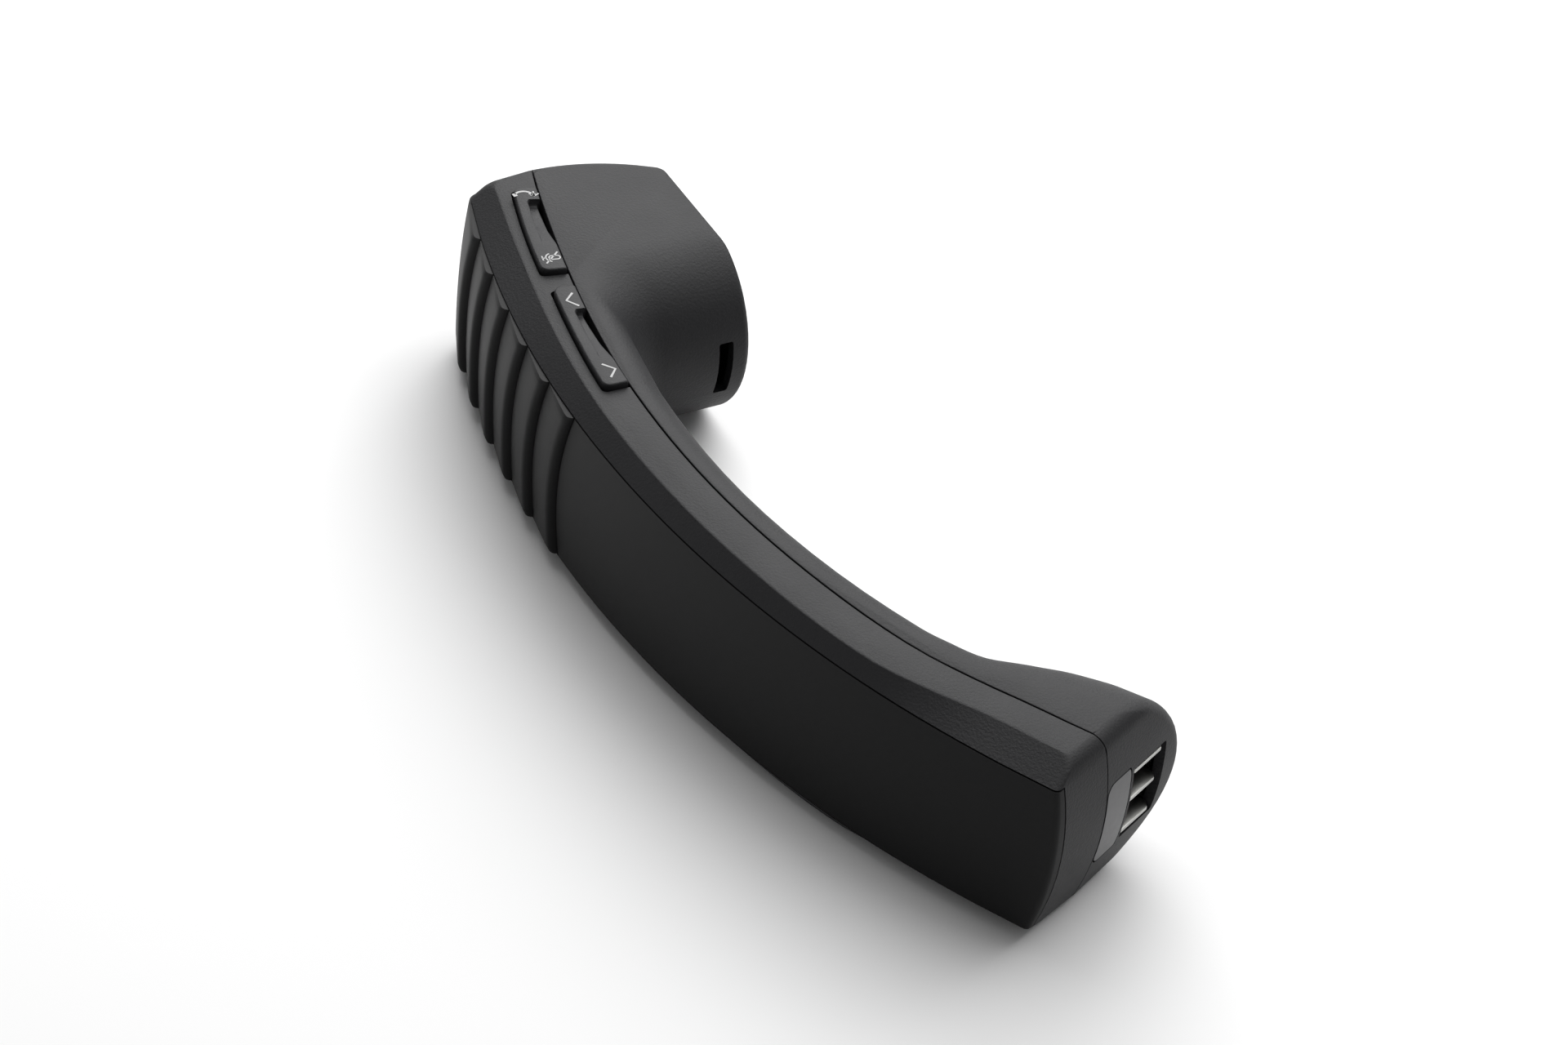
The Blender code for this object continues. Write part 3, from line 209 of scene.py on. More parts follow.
class HandsetSizes(bpy.types.PropertyGroup):
    """Sizes of the surface work."""
    seam_round: bpy.props.FloatProperty(
        name="Seam Round", description="Round of the edges along the parting seams",
        default=0.00022, min=0.00005, max=0.0006, unit="LENGTH")
    ridge_height: bpy.props.FloatProperty(
        name="Ridge Height", description="Height of the finger ridges above the back",
        default=RIDGE_HEIGHT, min=0.0003, max=RIDGE_HEIGHT, unit="LENGTH")
    key_round: bpy.props.FloatProperty(
        name="Key Edge Round", description="Round of the top edges of the side keys",
        default=0.00045, min=0.0001, max=0.0008, unit="LENGTH")
    grain_size: bpy.props.FloatProperty(
        name="Grain Size", description="Size of one grain of the moulded texture",
        default=0.00055, min=0.0002, max=0.0020, unit="LENGTH")
    mark_stroke: bpy.props.FloatProperty(
        name="Mark Stroke", description="Stroke width of the printed key symbols",
        default=0.00050, min=0.0002, max=0.0010, unit="LENGTH")


class HandsetColours(bpy.types.PropertyGroup):
    """Colours of the finishes, as sRGB hex values."""
    case: bpy.props.StringProperty(name="Case", description="Moulded case halves", default="#1c1c1e")
    panel: bpy.props.StringProperty(name="Back Panel", description="Satin back panel", default="#0c0c0d")
    keys: bpy.props.StringProperty(name="Keys", description="Side keys", default="#202022")
    marks: bpy.props.StringProperty(name="Symbols", description="Printed symbols", default="#b8b8b8")
    contacts: bpy.props.StringProperty(name="Contacts", description="Contact blades", default="#a9a9a6")
    floor: bpy.props.StringProperty(name="Floor", description="Floor of the stage", default="#f4f4f4")


# ---------------------------------------------------------------- lines of the design


def through(points, at):
    """Smooth value at a station, on a curve through (station, value) points."""
    if at <= points[0][0]:
        return points[0][1]
    if at >= points[-1][0]:
        return points[-1][1]
    slopes = []
    for i in range(len(points)):
        low = points[max(i - 1, 0)]
        high = points[min(i + 1, len(points) - 1)]
        slopes.append((high[1] - low[1]) / (high[0] - low[0]))
    i = max(k for k in range(len(points) - 1) if points[k][0] <= at)
    step = points[i + 1][0] - points[i][0]
    t = (at - points[i][0]) / step
    rise = points[i + 1][1] - points[i][1]
    start = slopes[i] * step
    end = slopes[i + 1] * step
    return points[i][1] + t * (start + t * ((3 * rise - 2 * start - end) + t * (start + end - 2 * rise)))


def spine(station, depth):
    """Point of the side view at a station along the back arc and a depth in front of it."""
    angle = station / BACK_RADIUS
    radius = BACK_RADIUS - depth
    return Vector((radius * math.sin(angle), BACK_RADIUS - radius * math.cos(angle)))


def spread(low, high, count):
    return [low + (high - low) * i / (count - 1) for i in range(count)]


def plan_setback(z, bulge, half=HALF):
    """How far an end face stands back from its middle at a height z across the width."""
    across = min(abs(z) / half, 1.0)
    corner = min(max(abs(z) - (half - END_CORNER_RADIUS), 0.0), END_CORNER_RADIUS)
    turned = END_CORNER_RADIUS - math.sqrt(END_CORNER_RADIUS ** 2 - corner ** 2)
    return bulge * across ** 2 + turned


def front_depth(station, z, inset=0.0):
    """Depth of the front surface, whose corners are quarter ellipses."""
    share = (station - NOSE_BLEND[0]) / (NOSE_BLEND[1] - NOSE_BLEND[0])
    share = min(max(share, 0.0), 1.0)
    share = share * share * (3 - 2 * share)
    across = GRIP_CORNER_ACROSS + share * (HALF - GRIP_CORNER_ACROSS)
    deep = GRIP_CORNER_DEEP + share * (NOSE_CORNER_DEEP - GRIP_CORNER_DEEP)
    half = HALF - inset
    across = max(across - inset, 0.001)
    deep = max(deep - inset, 0.001)
    w = min(max((abs(z) - (half - across)) / across, 0.0), 1.0)
    return through(FRONT_LINE, station) - inset - deep * (1 - math.sqrt(1 - w * w))


def back_depth(z, station):
    """Depth of the back: flat over the panel, then the chamfer down to the side."""
    beyond = (abs(z) - PANEL_HALF_WIDTH) / (HALF - PANEL_HALF_WIDTH)
    return max(beyond, 0.0) * through(CHAMFER_LINE, station)


def mic_end_station(depth, back):
    """Station where the tilted microphone end, moved back a little, cuts a depth line."""
    behind_parting = depth < BACK_RADIUS - math.hypot(MIC_END_POINT.x, BACK_RADIUS - MIC_END_POINT.y)
    tilt = MIC_END_REAR_TILT if behind_parting else MIC_END_TILT
    normal = Vector((math.cos(tilt), math.sin(tilt)))
    offset = MIC_END_POINT.dot(normal) - back
    return BACK_RADIUS * (tilt + math.asin((offset - BACK_RADIUS * normal.y) / (BACK_RADIUS - depth)))


def ear_end_point(height, back):
    """Point of the curved ear end at a height y in the side view."""
    radius = EAR_END_RADIUS - back
    rise = height - EAR_END_CENTRE.y
    return Vector((EAR_END_CENTRE.x - math.sqrt(radius ** 2 - rise ** 2), height))


def ear_end_station(line, back):
    """Station where a depth line meets the curved ear end."""
    low, high = EAR_SEARCH
    for _ in range(40):
        middle = (low + high) / 2
        reach = (spine(middle, through(line, middle)) - EAR_END_CENTRE).length
        if reach > EAR_END_RADIUS - back:
            low = middle
        else:
            high = middle
    return high


def level_line(depth):
    """Line of one depth under the ear end, as (station, depth) points."""
    return [(-0.140, depth), (-0.090, depth)]


def rim_point(along, below):
    """Point of the side view along the rim from its ear-end corner and below its plane."""
    return RIM_CORNER + Vector((math.cos(RIM_TILT), math.sin(RIM_TILT))) * along \
        + Vector((math.sin(RIM_TILT), -math.cos(RIM_TILT))) * below


def rounded(corners, segments=9):
    """Outline from (point, radius) corners, each radius turned into an arc."""
    outline = []
    count = len(corners)
    for i, (point, radius) in enumerate(corners):
        before = corners[i - 1][0] - point
        after = corners[(i + 1) % count][0] - point
        if radius <= 0:
            outline.append(point)
            continue
        before_way = before.normalized()
        after_way = after.normalized()
        half_angle = before_way.angle(after_way) / 2
        reach = min(radius / math.tan(half_angle), before.length * 0.49, after.length * 0.49)
        radius = reach * math.tan(half_angle)
        centre = point + (before_way + after_way).normalized() * (radius / math.sin(half_angle))
        start = point + before_way * reach - centre
        end = point + after_way * reach - centre
        turn = start.angle_signed(end)
        for k in range(segments + 1):
            part = Vector(start)
            part.rotate(Matrix.Rotation(-turn * k / segments, 2))
            outline.append(centre + part)
    return outline


# ---------------------------------------------------------------- frames on the body


def at(point, turn):
    """Frame at a point of the side view, turned about the width."""
    return Matrix.Translation((point.x, point.y, 0.0)) @ Matrix.Rotation(turn, 4, "Z")


def on_mic_end(along):
    """Frame on the middle of the microphone end, its X out of the end and its Y up along it."""
    way = Vector((-math.sin(MIC_END_TILT), math.cos(MIC_END_TILT)))
    return at(MIC_END_POINT + way * along, MIC_END_TILT)


def cup_upright():
    """Frame of the ear cup with its own Z along the cup's axis."""
    return at(rim_point(0.0, 0.0), RIM_TILT) @ Matrix.Rotation(math.radians(-90.0), 4, "X")


def mic_frame():
    """Frame on the slope of the microphone cup, whose Z leaves its surface."""
    step = 0.002
    here = spine(MIC_STATION, through(FRONT_LINE, MIC_STATION))
    ahead = spine(MIC_STATION + step, through(FRONT_LINE, MIC_STATION + step))
    along = (ahead - here).normalized()
    return at(here, math.atan2(along.x, -along.y)) @ Matrix.Rotation(math.radians(90.0), 4, "Y")


# ---------------------------------------------------------------- mesh helpers


def to_mesh(bm, name, sharp=SHARP_ANGLE):
    """Mesh of a finished bmesh, moved from the drawing to its place in the frame."""
    bmesh.ops.remove_doubles(bm, verts=bm.verts, dist=1e-6)
    bmesh.ops.recalc_face_normals(bm, faces=bm.faces)
    bmesh.ops.translate(bm, verts=bm.verts, vec=ORIGIN)
    mesh = bpy.data.meshes.new(name)
    bm.to_mesh(mesh)
    bm.free()
    mesh.shade_smooth()
    mesh.set_sharp_from_angle(angle=sharp)
    return mesh


def skin(rings):
    """Closed body over rings of as many points each, bridged ring to ring."""
    bm = bmesh.new()
    loops = []
    for points in rings:
        ring = [bm.verts.new(point) for point in points]
        loops.append([bm.edges.new(pair) for pair in zip(ring, ring[1:] + ring[:1])])
    for low, high in zip(loops[:-1], loops[1:]):
        bmesh.ops.bridge_loops(bm, edges=low + high)
    for end in (loops[0], loops[-1]):
        bmesh.ops.contextual_create(bm, geom=end)
    bmesh.ops.recalc_face_normals(bm, faces=bm.faces)
    return bm


def loft(levels, outline_at):
    """Closed body through the side-view outlines at rising heights."""
    return skin([[(p.x, p.y, z) for p in outline_at(z)] for z in levels])


def prism(outline, low, high, top_round=0.0):
    """Upright body over an outline, with its top edge rounded if asked."""
    bm = bmesh.new()
    ring = [bm.verts.new((p.x, p.y, low)) for p in outline]
    edges = [bm.edges.new(pair) for pair in zip(ring, ring[1:] + ring[:1])]
    bmesh.ops.contextual_create(bm, geom=edges)
    raised = bmesh.ops.extrude_face_region(bm, geom=bm.faces[:])
    tops = [v for v in raised["geom"] if isinstance(v, bmesh.types.BMVert)]
    bmesh.ops.translate(bm, verts=tops, vec=(0, 0, high - low))
    bmesh.ops.recalc_face_normals(bm, faces=bm.faces)
    if top_round > 0:
        top = set(tops)
        edges = [e for e in bm.edges if all(v in top for v in e.verts)]
        bevel(bm, edges, top_round, 3)
    return bm


def bevel(bm, edges, offset, segments):
    """Round some edges with circular arcs."""
    bmesh.ops.bevel(bm, geom=edges, offset=offset, segments=segments, profile=0.5, affect="EDGES",
                    material=-1)


def block(size, centre=(0, 0, 0), edge_round=0.0):
    """Box whose edges along X are rounded if asked."""
    bm = bmesh.new()
    bmesh.ops.create_cube(bm, size=1.0, matrix=Matrix.Translation(centre) @ Matrix.Diagonal((*size, 1.0)))
    if edge_round > 0:
        edges = [e for e in bm.edges if abs(e.verts[0].co.x - e.verts[1].co.x) > size[0] / 2]
        bevel(bm, edges, edge_round, 3)
    return bm


def rod(radius, start, end, segments=32):
    """Round bar from one point to another."""
    way = Vector(end) - Vector(start)
    middle = (Vector(start) + Vector(end)) / 2
    turn = way.to_track_quat("Z", "Y").to_matrix().to_4x4()
    bm = bmesh.new()
    bmesh.ops.create_cone(bm, cap_ends=True, segments=segments, radius1=radius,
                          radius2=radius, depth=way.length,
                          matrix=Matrix.Translation(middle) @ turn)
    return bm


def moved(bm, matrix):
    bmesh.ops.transform(bm, matrix=matrix, verts=bm.verts)
    return bm


def new_object(name, mesh):
    made = bpy.data.objects.new(name, mesh)
    bpy.context.scene.collection.objects.link(made)
    return made


def cut(mesh, cutters):
    """Mesh with every cutter taken out of it."""
    piece = new_object("cut_piece", mesh)
    tools = []
    for index, cutter in enumerate(cutters):
        tool = new_object(f"cutter_{index}", to_mesh(cutter, f"cutter_{index}"))
        step = piece.modifiers.new(tool.name, "BOOLEAN")
        step.operation = "DIFFERENCE"
        step.solver = "MANIFOLD"
        step.object = tool
        tools.append(tool)
    bpy.context.view_layer.update()
    graph = bpy.context.evaluated_depsgraph_get()
    result = bpy.data.meshes.new_from_object(piece.evaluated_get(graph))
    for used in [piece] + tools:
        bpy.data.objects.remove(used, do_unlink=True)
    return result


def finish_cut(mesh, name):
    """Cut mesh with doubles merged, ready for shading."""
    bm = bmesh.new()
    bm.from_mesh(mesh)
    bmesh.ops.remove_doubles(bm, verts=bm.verts, dist=2e-6)
    bm.to_mesh(mesh)
    bm.free()
    mesh.name = name
    mesh.shade_smooth()
    mesh.set_sharp_from_angle(angle=SHARP_ANGLE)
    return mesh


def place_piece(name, mesh, finish, body, slot, *nodes):
    """Object for a finished mesh, riding on its body and standing for its nodes."""
    mesh.materials.clear()
    mesh.materials.append(finish)
    piece = new_object(name, mesh)
    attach(piece, body)
    if nodes:
        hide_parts(*nodes)
    return piece


# ---------------------------------------------------------------- materials


def linear(hex_value):
    """Linear colour from an sRGB hex value."""
    parts = [int(hex_value.lstrip("#")[i:i + 2], 16) / 255 for i in (0, 2, 4)]
    return [c / 12.92 if c <= 0.04045 else ((c + 0.055) / 1.055) ** 2.4 for c in parts] + [1.0]


def add_node(tree, kind, settings=None, links=None):
    """Node with its settings and input links, each link as input: (node, output)."""
    node = tree.nodes.new(kind)
    for name, value in (settings or {}).items():
        if name in node.inputs:
            node.inputs[name].default_value = value
        else:
            setattr(node, name, value)
    for name, (source, output) in (links or {}).items():
        tree.links.new(source.outputs[output], node.inputs[name])
    return node


def start_material(name, colour, **sockets):
    """Material with a shader set up, and its object coordinates."""
    made = bpy.data.materials.new(name)
    made.use_nodes = True
    tree = made.node_tree
    shader = tree.nodes["Principled BSDF"]
    shader.inputs["Base Color"].default_value = linear(colour)
    for socket, value in sockets.items():
        shader.inputs[socket.replace("_", " ")].default_value = value
    made.diffuse_color = linear(colour)
    where = (add_node(tree, "ShaderNodeTexCoord"), "Object")
    return made, tree, shader, where


def tint(tree, shader, source, output, colour, low, high):
    """Base colour that varies between two shades of one colour."""
    base = linear(colour)
    ramp = add_node(tree, "ShaderNodeValToRGB", links={"Fac": (source, output)})
    ramp.color_ramp.elements[0].position = 0.3
    ramp.color_ramp.elements[1].position = 0.7
    ramp.color_ramp.elements[0].color = [c * low for c in base[:3]] + [1.0]
    ramp.color_ramp.elements[1].color = [c * high for c in base[:3]] + [1.0]
    tree.links.new(ramp.outputs["Color"], shader.inputs["Base Color"])


def vary_roughness(tree, shader, source, output, low, high):
    mapped = add_node(tree, "ShaderNodeMapRange", {"To Min": low, "To Max": high},
                      {"Value": (source, output)})
    tree.links.new(mapped.outputs["Result"], shader.inputs["Roughness"])


def bump(tree, shader, source, output, strength, distance):
    node = add_node(tree, "ShaderNodeBump", {"Strength": strength, "Distance": distance},
                    {"Height": (source, output)})
    tree.links.new(node.outputs["Normal"], shader.inputs["Normal"])


def grained_abs(name, colour, grain, roughness, depth):
    """Injection-moulded ABS from a spark-eroded tool: matt, with a fine leathery grain."""
    made, tree, shader, where = start_material(name, colour, IOR=1.42, Specular_IOR_Level=0.45)
    cells = add_node(tree, "ShaderNodeTexVoronoi",
                     {"Scale": 1.0 / grain, "feature": "SMOOTH_F1", "Smoothness": 0.7},
                     {"Vector": where})
    fine = add_node(tree, "ShaderNodeTexNoise", {"Scale": 2.2 / grain, "Detail": 3.0},
                    {"Vector": where})
    wide = add_node(tree, "ShaderNodeTexNoise", {"Scale": 45.0, "Detail": 3.0, "Roughness": 0.6},
                    {"Vector": where})
    height = add_node(tree, "ShaderNodeMath", {"operation": "ADD"})
    tree.links.new(cells.outputs["Distance"], height.inputs[0])
    tree.links.new(fine.outputs["Fac"], height.inputs[1])
    bump(tree, shader, height, "Value", 0.55, depth)
    vary_roughness(tree, shader, wide, "Fac", roughness - 0.05, roughness + 0.06)
    tint(tree, shader, wide, "Fac", colour, 0.92, 1.08)
    return made


def satin_abs(name, colour, roughness, grain):
    """ABS moulded in a fine-blasted tool: a smooth satin black that shows soft highlights."""
    made, tree, shader, where = start_material(name, colour, IOR=1.35, Specular_IOR_Level=0.30)
    fine = add_node(tree, "ShaderNodeTexNoise", {"Scale": 1.0 / grain, "Detail": 4.0},
                    {"Vector": where})
    wide = add_node(tree, "ShaderNodeTexNoise", {"Scale": 30.0, "Detail": 4.0},
                    {"Vector": where})
    bump(tree, shader, fine, "Fac", 0.25, 0.00002)
    vary_roughness(tree, shader, wide, "Fac", roughness - 0.03, roughness + 0.05)
    tint(tree, shader, wide, "Fac", colour, 0.94, 1.06)
    return made


def gloss_abs(name, colour):
    """Polished black ABS inside the charging window: nearly a mirror, with faint moulding waves."""
    made, tree, shader, where = start_material(name, colour, IOR=1.53)
    wave = add_node(tree, "ShaderNodeTexNoise", {"Scale": 180.0, "Detail": 1.0}, {"Vector": where})
    bump(tree, shader, wave, "Fac", 0.10, 0.00003)
    vary_roughness(tree, shader, wave, "Fac", 0.12, 0.20)
    return made


def printed_ink(name, colour):
    """Pad-printed light grey ink: matt, with a little unevenness in its cover."""
    made, tree, shader, where = start_material(name, colour, IOR=1.50)
    cover = add_node(tree, "ShaderNodeTexNoise", {"Scale": 2500.0, "Detail": 2.0}, {"Vector": where})
    tint(tree, shader, cover, "Fac", colour, 0.90, 1.05)
    vary_roughness(tree, shader, cover, "Fac", 0.50, 0.62)
    return made


def label_film(name, colour):
    """Polyester film with a satin overlaminate, a shade lighter than the case."""
    made, tree, shader, where = start_material(name, colour, IOR=1.57)
    peel = add_node(tree, "ShaderNodeTexNoise", {"Scale": 600.0, "Detail": 2.0}, {"Vector": where})
    bump(tree, shader, peel, "Fac", 0.08, 0.00002)
    vary_roughness(tree, shader, peel, "Fac", 0.36, 0.44)
    return made


def drawn_metal(name, colour, roughness):
    """Plated or drawn metal: fine lines along one way, from rolling or drawing."""
    made, tree, shader, where = start_material(name, colour, Metallic=1.0)
    turned = add_node(tree, "ShaderNodeMapping", {"Scale": (1.0, 1.0, 20.0)}, {"Vector": where})
    lines = add_node(tree, "ShaderNodeTexNoise", {"Scale": 400.0, "Detail": 4.0},
                     {"Vector": (turned, "Vector")})
    bump(tree, shader, lines, "Fac", 0.12, 0.00002)
    vary_roughness(tree, shader, lines, "Fac", roughness - 0.06, roughness + 0.08)
    tint(tree, shader, lines, "Fac", colour, 0.9, 1.05)
    return made


def battery_wrap(name, colour):
    """Aluminium-laminate pouch film: dull silver with soft wrinkles."""
    made, tree, shader, where = start_material(name, colour, Metallic=0.7)
    creases = add_node(tree, "ShaderNodeTexNoise", {"Scale": 160.0, "Detail": 5.0, "Distortion": 0.6},
                       {"Vector": where})
    bump(tree, shader, creases, "Fac", 0.4, 0.0002)
    vary_roughness(tree, shader, creases, "Fac", 0.32, 0.48)
    return made


def solder_mask(name, colour):
    """Glass-epoxy board under solder mask: glossy green over a faint weave and tracks."""
    made, tree, shader, where = start_material(name, colour, IOR=1.55)
    tracks = add_node(tree, "ShaderNodeTexBrick",
                      {"Scale": 320.0, "Mortar Size": 0.03, "Color1": linear(colour),
                       "Color2": linear("#174a2a"), "Mortar": linear("#2f7a4a")}, {"Vector": where})
    tree.links.new(tracks.outputs["Color"], shader.inputs["Base Color"])
    weave = add_node(tree, "ShaderNodeTexNoise", {"Scale": 900.0}, {"Vector": where})
    bump(tree, shader, weave, "Fac", 0.1, 0.00002)
    vary_roughness(tree, shader, weave, "Fac", 0.30, 0.42)
    return made


def open_foam(name, colour):
    """Open-cell polyurethane foam: matt, with pores of about a third of a millimetre."""
    made, tree, shader, where = start_material(name, colour, Roughness=0.95)
    pores = add_node(tree, "ShaderNodeTexVoronoi", {"Scale": 3000.0}, {"Vector": where})
    bump(tree, shader, pores, "Distance", 0.8, 0.0002)
    tint(tree, shader, pores, "Distance", colour, 0.5, 1.2)
    return made


def moulded_rubber(name, colour, roughness=0.78):
    """Compression-moulded rubber or lead insulation: matt, faintly uneven."""
    made, tree, shader, where = start_material(name, colour, IOR=1.52)
    skin = add_node(tree, "ShaderNodeTexNoise", {"Scale": 1200.0, "Detail": 3.0}, {"Vector": where})
    bump(tree, shader, skin, "Fac", 0.2, 0.00003)
    vary_roughness(tree, shader, skin, "Fac", roughness - 0.06, roughness + 0.06)
    tint(tree, shader, skin, "Fac", colour, 0.9, 1.1)
    return made


def woven_cloth(name, colour):
    """Woven acoustic cloth: threads 0.25 mm apart, crossing at right angles."""
    made, tree, shader, where = start_material(name, colour, Roughness=0.9)
    across = add_node(tree, "ShaderNodeTexWave", {"Scale": 640.0, "bands_direction": "X"},
                      {"Vector": where})
    along = add_node(tree, "ShaderNodeTexWave", {"Scale": 640.0, "bands_direction": "Z"},
                     {"Vector": where})
    both = add_node(tree, "ShaderNodeMath", {"operation": "MAXIMUM"})
    tree.links.new(across.outputs["Fac"], both.inputs[0])
    tree.links.new(along.outputs["Fac"], both.inputs[1])
    bump(tree, shader, both, "Value", 0.6, 0.0001)
    tint(tree, shader, both, "Value", colour, 0.5, 1.2)
    return made


def floor_paper(name, colour):
    """Matt seamless paper."""
    made, tree, shader, where = start_material(name, colour, Roughness=0.9, Specular_IOR_Level=0.2)
    fibre = add_node(tree, "ShaderNodeTexNoise", {"Scale": 900.0, "Detail": 3.0}, {"Vector": where})
    bump(tree, shader, fibre, "Fac", 0.05, 0.00002)
    return made


def finish(name):
    """Finish by name, made the first time it is asked for."""
    known = bpy.data.materials.get(name)
    if known is not None:
        return known
    colours = bpy.context.scene.handset_colours
    grain = bpy.context.scene.handset_sizes.grain_size
    makers = {
        "spark_grained_abs_case": lambda: grained_abs(name, colours.case, grain, 0.58, 0.00010),
        "spark_grained_abs_key": lambda: grained_abs(name, colours.keys, grain, 0.55, 0.00008),
        "satin_abs_panel": lambda: satin_abs(name, colours.panel, 0.50, 0.0004),
        "moulded_abs_inner": lambda: satin_abs(name, "#1a1a1c", 0.50, 0.0004),
        "polished_abs_window": lambda: gloss_abs(name, "#0b0b0c"),
        "pad_printed_ink": lambda: printed_ink(name, colours.marks),
        "label_polyester_film": lambda: label_film(name, "#3a3a3c"),
        "socket_nylon": lambda: satin_abs(name, "#cfc8b4", 0.48, 0.0005),
        "plated_contact": lambda: drawn_metal(name, colours.contacts, 0.34),
        "bright_nickel_plate": lambda: drawn_metal(name, "#c9c3b6", 0.28),
        "zinc_plated_steel": lambda: drawn_metal(name, "#a7a9ab", 0.36),
        "battery_laminate": lambda: battery_wrap(name, "#b9bcc0"),
        "solder_masked_board": lambda: solder_mask(name, "#1b5a34"),
        "open_cell_foam": lambda: open_foam(name, "#3a3a3c"),
        "moulded_rubber": lambda: moulded_rubber(name, "#1c1c1c"),
        "acoustic_cloth_weave": lambda: woven_cloth(name, "#18181a"),
        "lead_insulation_red": lambda: moulded_rubber(name, "#9a1d16", 0.45),
        "lead_insulation_black": lambda: moulded_rubber(name, "#1a1a1a", 0.45),
        "seamless_paper": lambda: floor_paper(name, colours.floor),
    }
    return makers[name]()


# ---------------------------------------------------------------- casing


def side_levels(half, inner, corner_steps, middle_steps):
    """Heights across the width: even in the middle, and following a round towards both sides."""
    run = half - inner
    turned = [inner + run * math.sin(math.pi / 2 * k / corner_steps) for k in range(corner_steps + 1)]
    middle = spread(-inner, inner, middle_steps)[1:-1]
    return sorted([-z for z in turned] + middle + turned)


def front_outline(z, inset=0.0, below_parting=0.0):
    """Side view of the front shell, or of its hollow, at a height across the width."""
    half = HALF - inset
    ear_back = plan_setback(z, EAR_END_BULGE, half) + inset
    mic_back = plan_setback(z, MIC_END_BULGE, half) + inset
    lift = FIT_GAP / 2 - below_parting
    line = [(s, d + lift) for s, d in PARTING_LINE]
    ear_station = ear_end_station(line, ear_back)
    mic_station = mic_end_station(through(line, MIC_END_STATION), mic_back)
    corners = [(spine(s, through(line, s)), 0.0) for s in spread(ear_station, mic_station, 41)]
    nose_station = mic_end_station(front_depth(MIC_END_STATION, z, inset), mic_back)
    nose_depth = front_depth(nose_station, z, inset)
    parting_depth = through(line, mic_station)
    for share in NOSE_FACE_SHARES:
        depth = parting_depth + share * (nose_depth - parting_depth)
        corners.append((spine(mic_end_station(depth, mic_back), depth), 0.0))
    corners.append((spine(nose_station, nose_depth), NOSE_EDGE_RADIUS))
    for station in spread(*NOSE_STATIONS, 22) + spread(*GRIP_STATIONS, 12):
        corners.append((spine(station, front_depth(station, z, inset)), 0.0))
    reach = RIM_STRAIGHT + math.sqrt(max(half ** 2 - z ** 2, 0.0))
    low = RIM_EDGE_RADIUS - math.sqrt(RIM_EDGE_RADIUS ** 2
                                      - max(abs(z) - half + RIM_EDGE_RADIUS, 0.0) ** 2)
    corners.append((cup_foot(reach, z, inset), CUP_FILLET + inset))
    corners.append((rim_point(reach, low), RIM_EDGE_RADIUS))
    top = rim_point(ear_back, low)
    ear_top = ear_end_point(top.y - EAR_TOP_DROP, ear_back)
    along = (ear_top - RIM_CORNER).dot(rim_point(1, 0) - RIM_CORNER)
    corners.append((rim_point(along + EAR_TOP_DROP / 2, low), EAR_CORNER_RADIUS))
    parting = spine(ear_station, through(line, ear_station))
    for share in spread(*EAR_FACE_SHARES, 11):
        corners.append((ear_end_point(parting.y + share * (ear_top.y - parting.y), ear_back), 0.0))
    return rounded(corners)


def cup_foot(reach, z, inset):
    """Where the wall of the ear cup runs down into the front of the grip."""
    low, high = FOOT_SEARCH
    for _ in range(30):
        middle = (low + high) / 2
        point = rim_point(reach, middle)
        station = BACK_RADIUS * math.atan2(point.x, BACK_RADIUS - point.y)
        depth = BACK_RADIUS - math.hypot(point.x, BACK_RADIUS - point.y)
        if depth > front_depth(station, z, inset):
            low = middle
        else:
            high = middle
    return rim_point(reach, low)


def rear_outline(z):
    """Side view of the rear shell at a height across the width."""
    ear_back = plan_setback(z, EAR_END_BULGE)
    mic_back = plan_setback(z, MIC_END_BULGE)
    mic_station = mic_end_station(back_depth(z, MIC_END_STATION), mic_back)
    corners = [(spine(mic_station, back_depth(z, mic_station)), PANEL_END_ROUND)]
    for station in spread(BACK_SPAN[1], BACK_SPAN[0], 41):
        corners.append((spine(station, back_depth(z, station)), 0.0))
    heel = ear_end_station([(s, back_depth(z, s)) for s in (-0.130, BACK_SPAN[0])], ear_back)
    corners.append((spine(heel, back_depth(z, heel)), HEEL_RADIUS))
    line = [(s, d - FIT_GAP / 2) for s, d in PARTING_LINE]
    ear_station = ear_end_station(line, ear_back)
    mic_station = mic_end_station(through(line, MIC_END_STATION), mic_back)
    for station in spread(ear_station, mic_station, 41):
        corners.append((spine(station, through(line, station)), 0.0))
    return rounded(corners)


def rear_hollow_outline(z):
    """Side view of the hollow between the floor of the rear shell and the parting line."""
    ear_back = plan_setback(z, EAR_END_BULGE) + SHELL_WALL
    mic_back = plan_setback(z, MIC_END_BULGE) + SHELL_WALL
    line = [(s, d + HOLLOW_PAST) for s, d in PARTING_LINE]
    ear_low = ear_end_station(level_line(CAVITY_DEPTH), ear_back)
    mic_low = mic_end_station(CAVITY_DEPTH, mic_back)
    outline = [spine(s, CAVITY_DEPTH) for s in spread(mic_low, ear_low, 15)]
    ear_station = ear_end_station(line, ear_back)
    mic_station = mic_end_station(through(line, MIC_END_STATION), mic_back)
    return outline + [spine(s, through(line, s)) for s in spread(ear_station, mic_station, 15)]


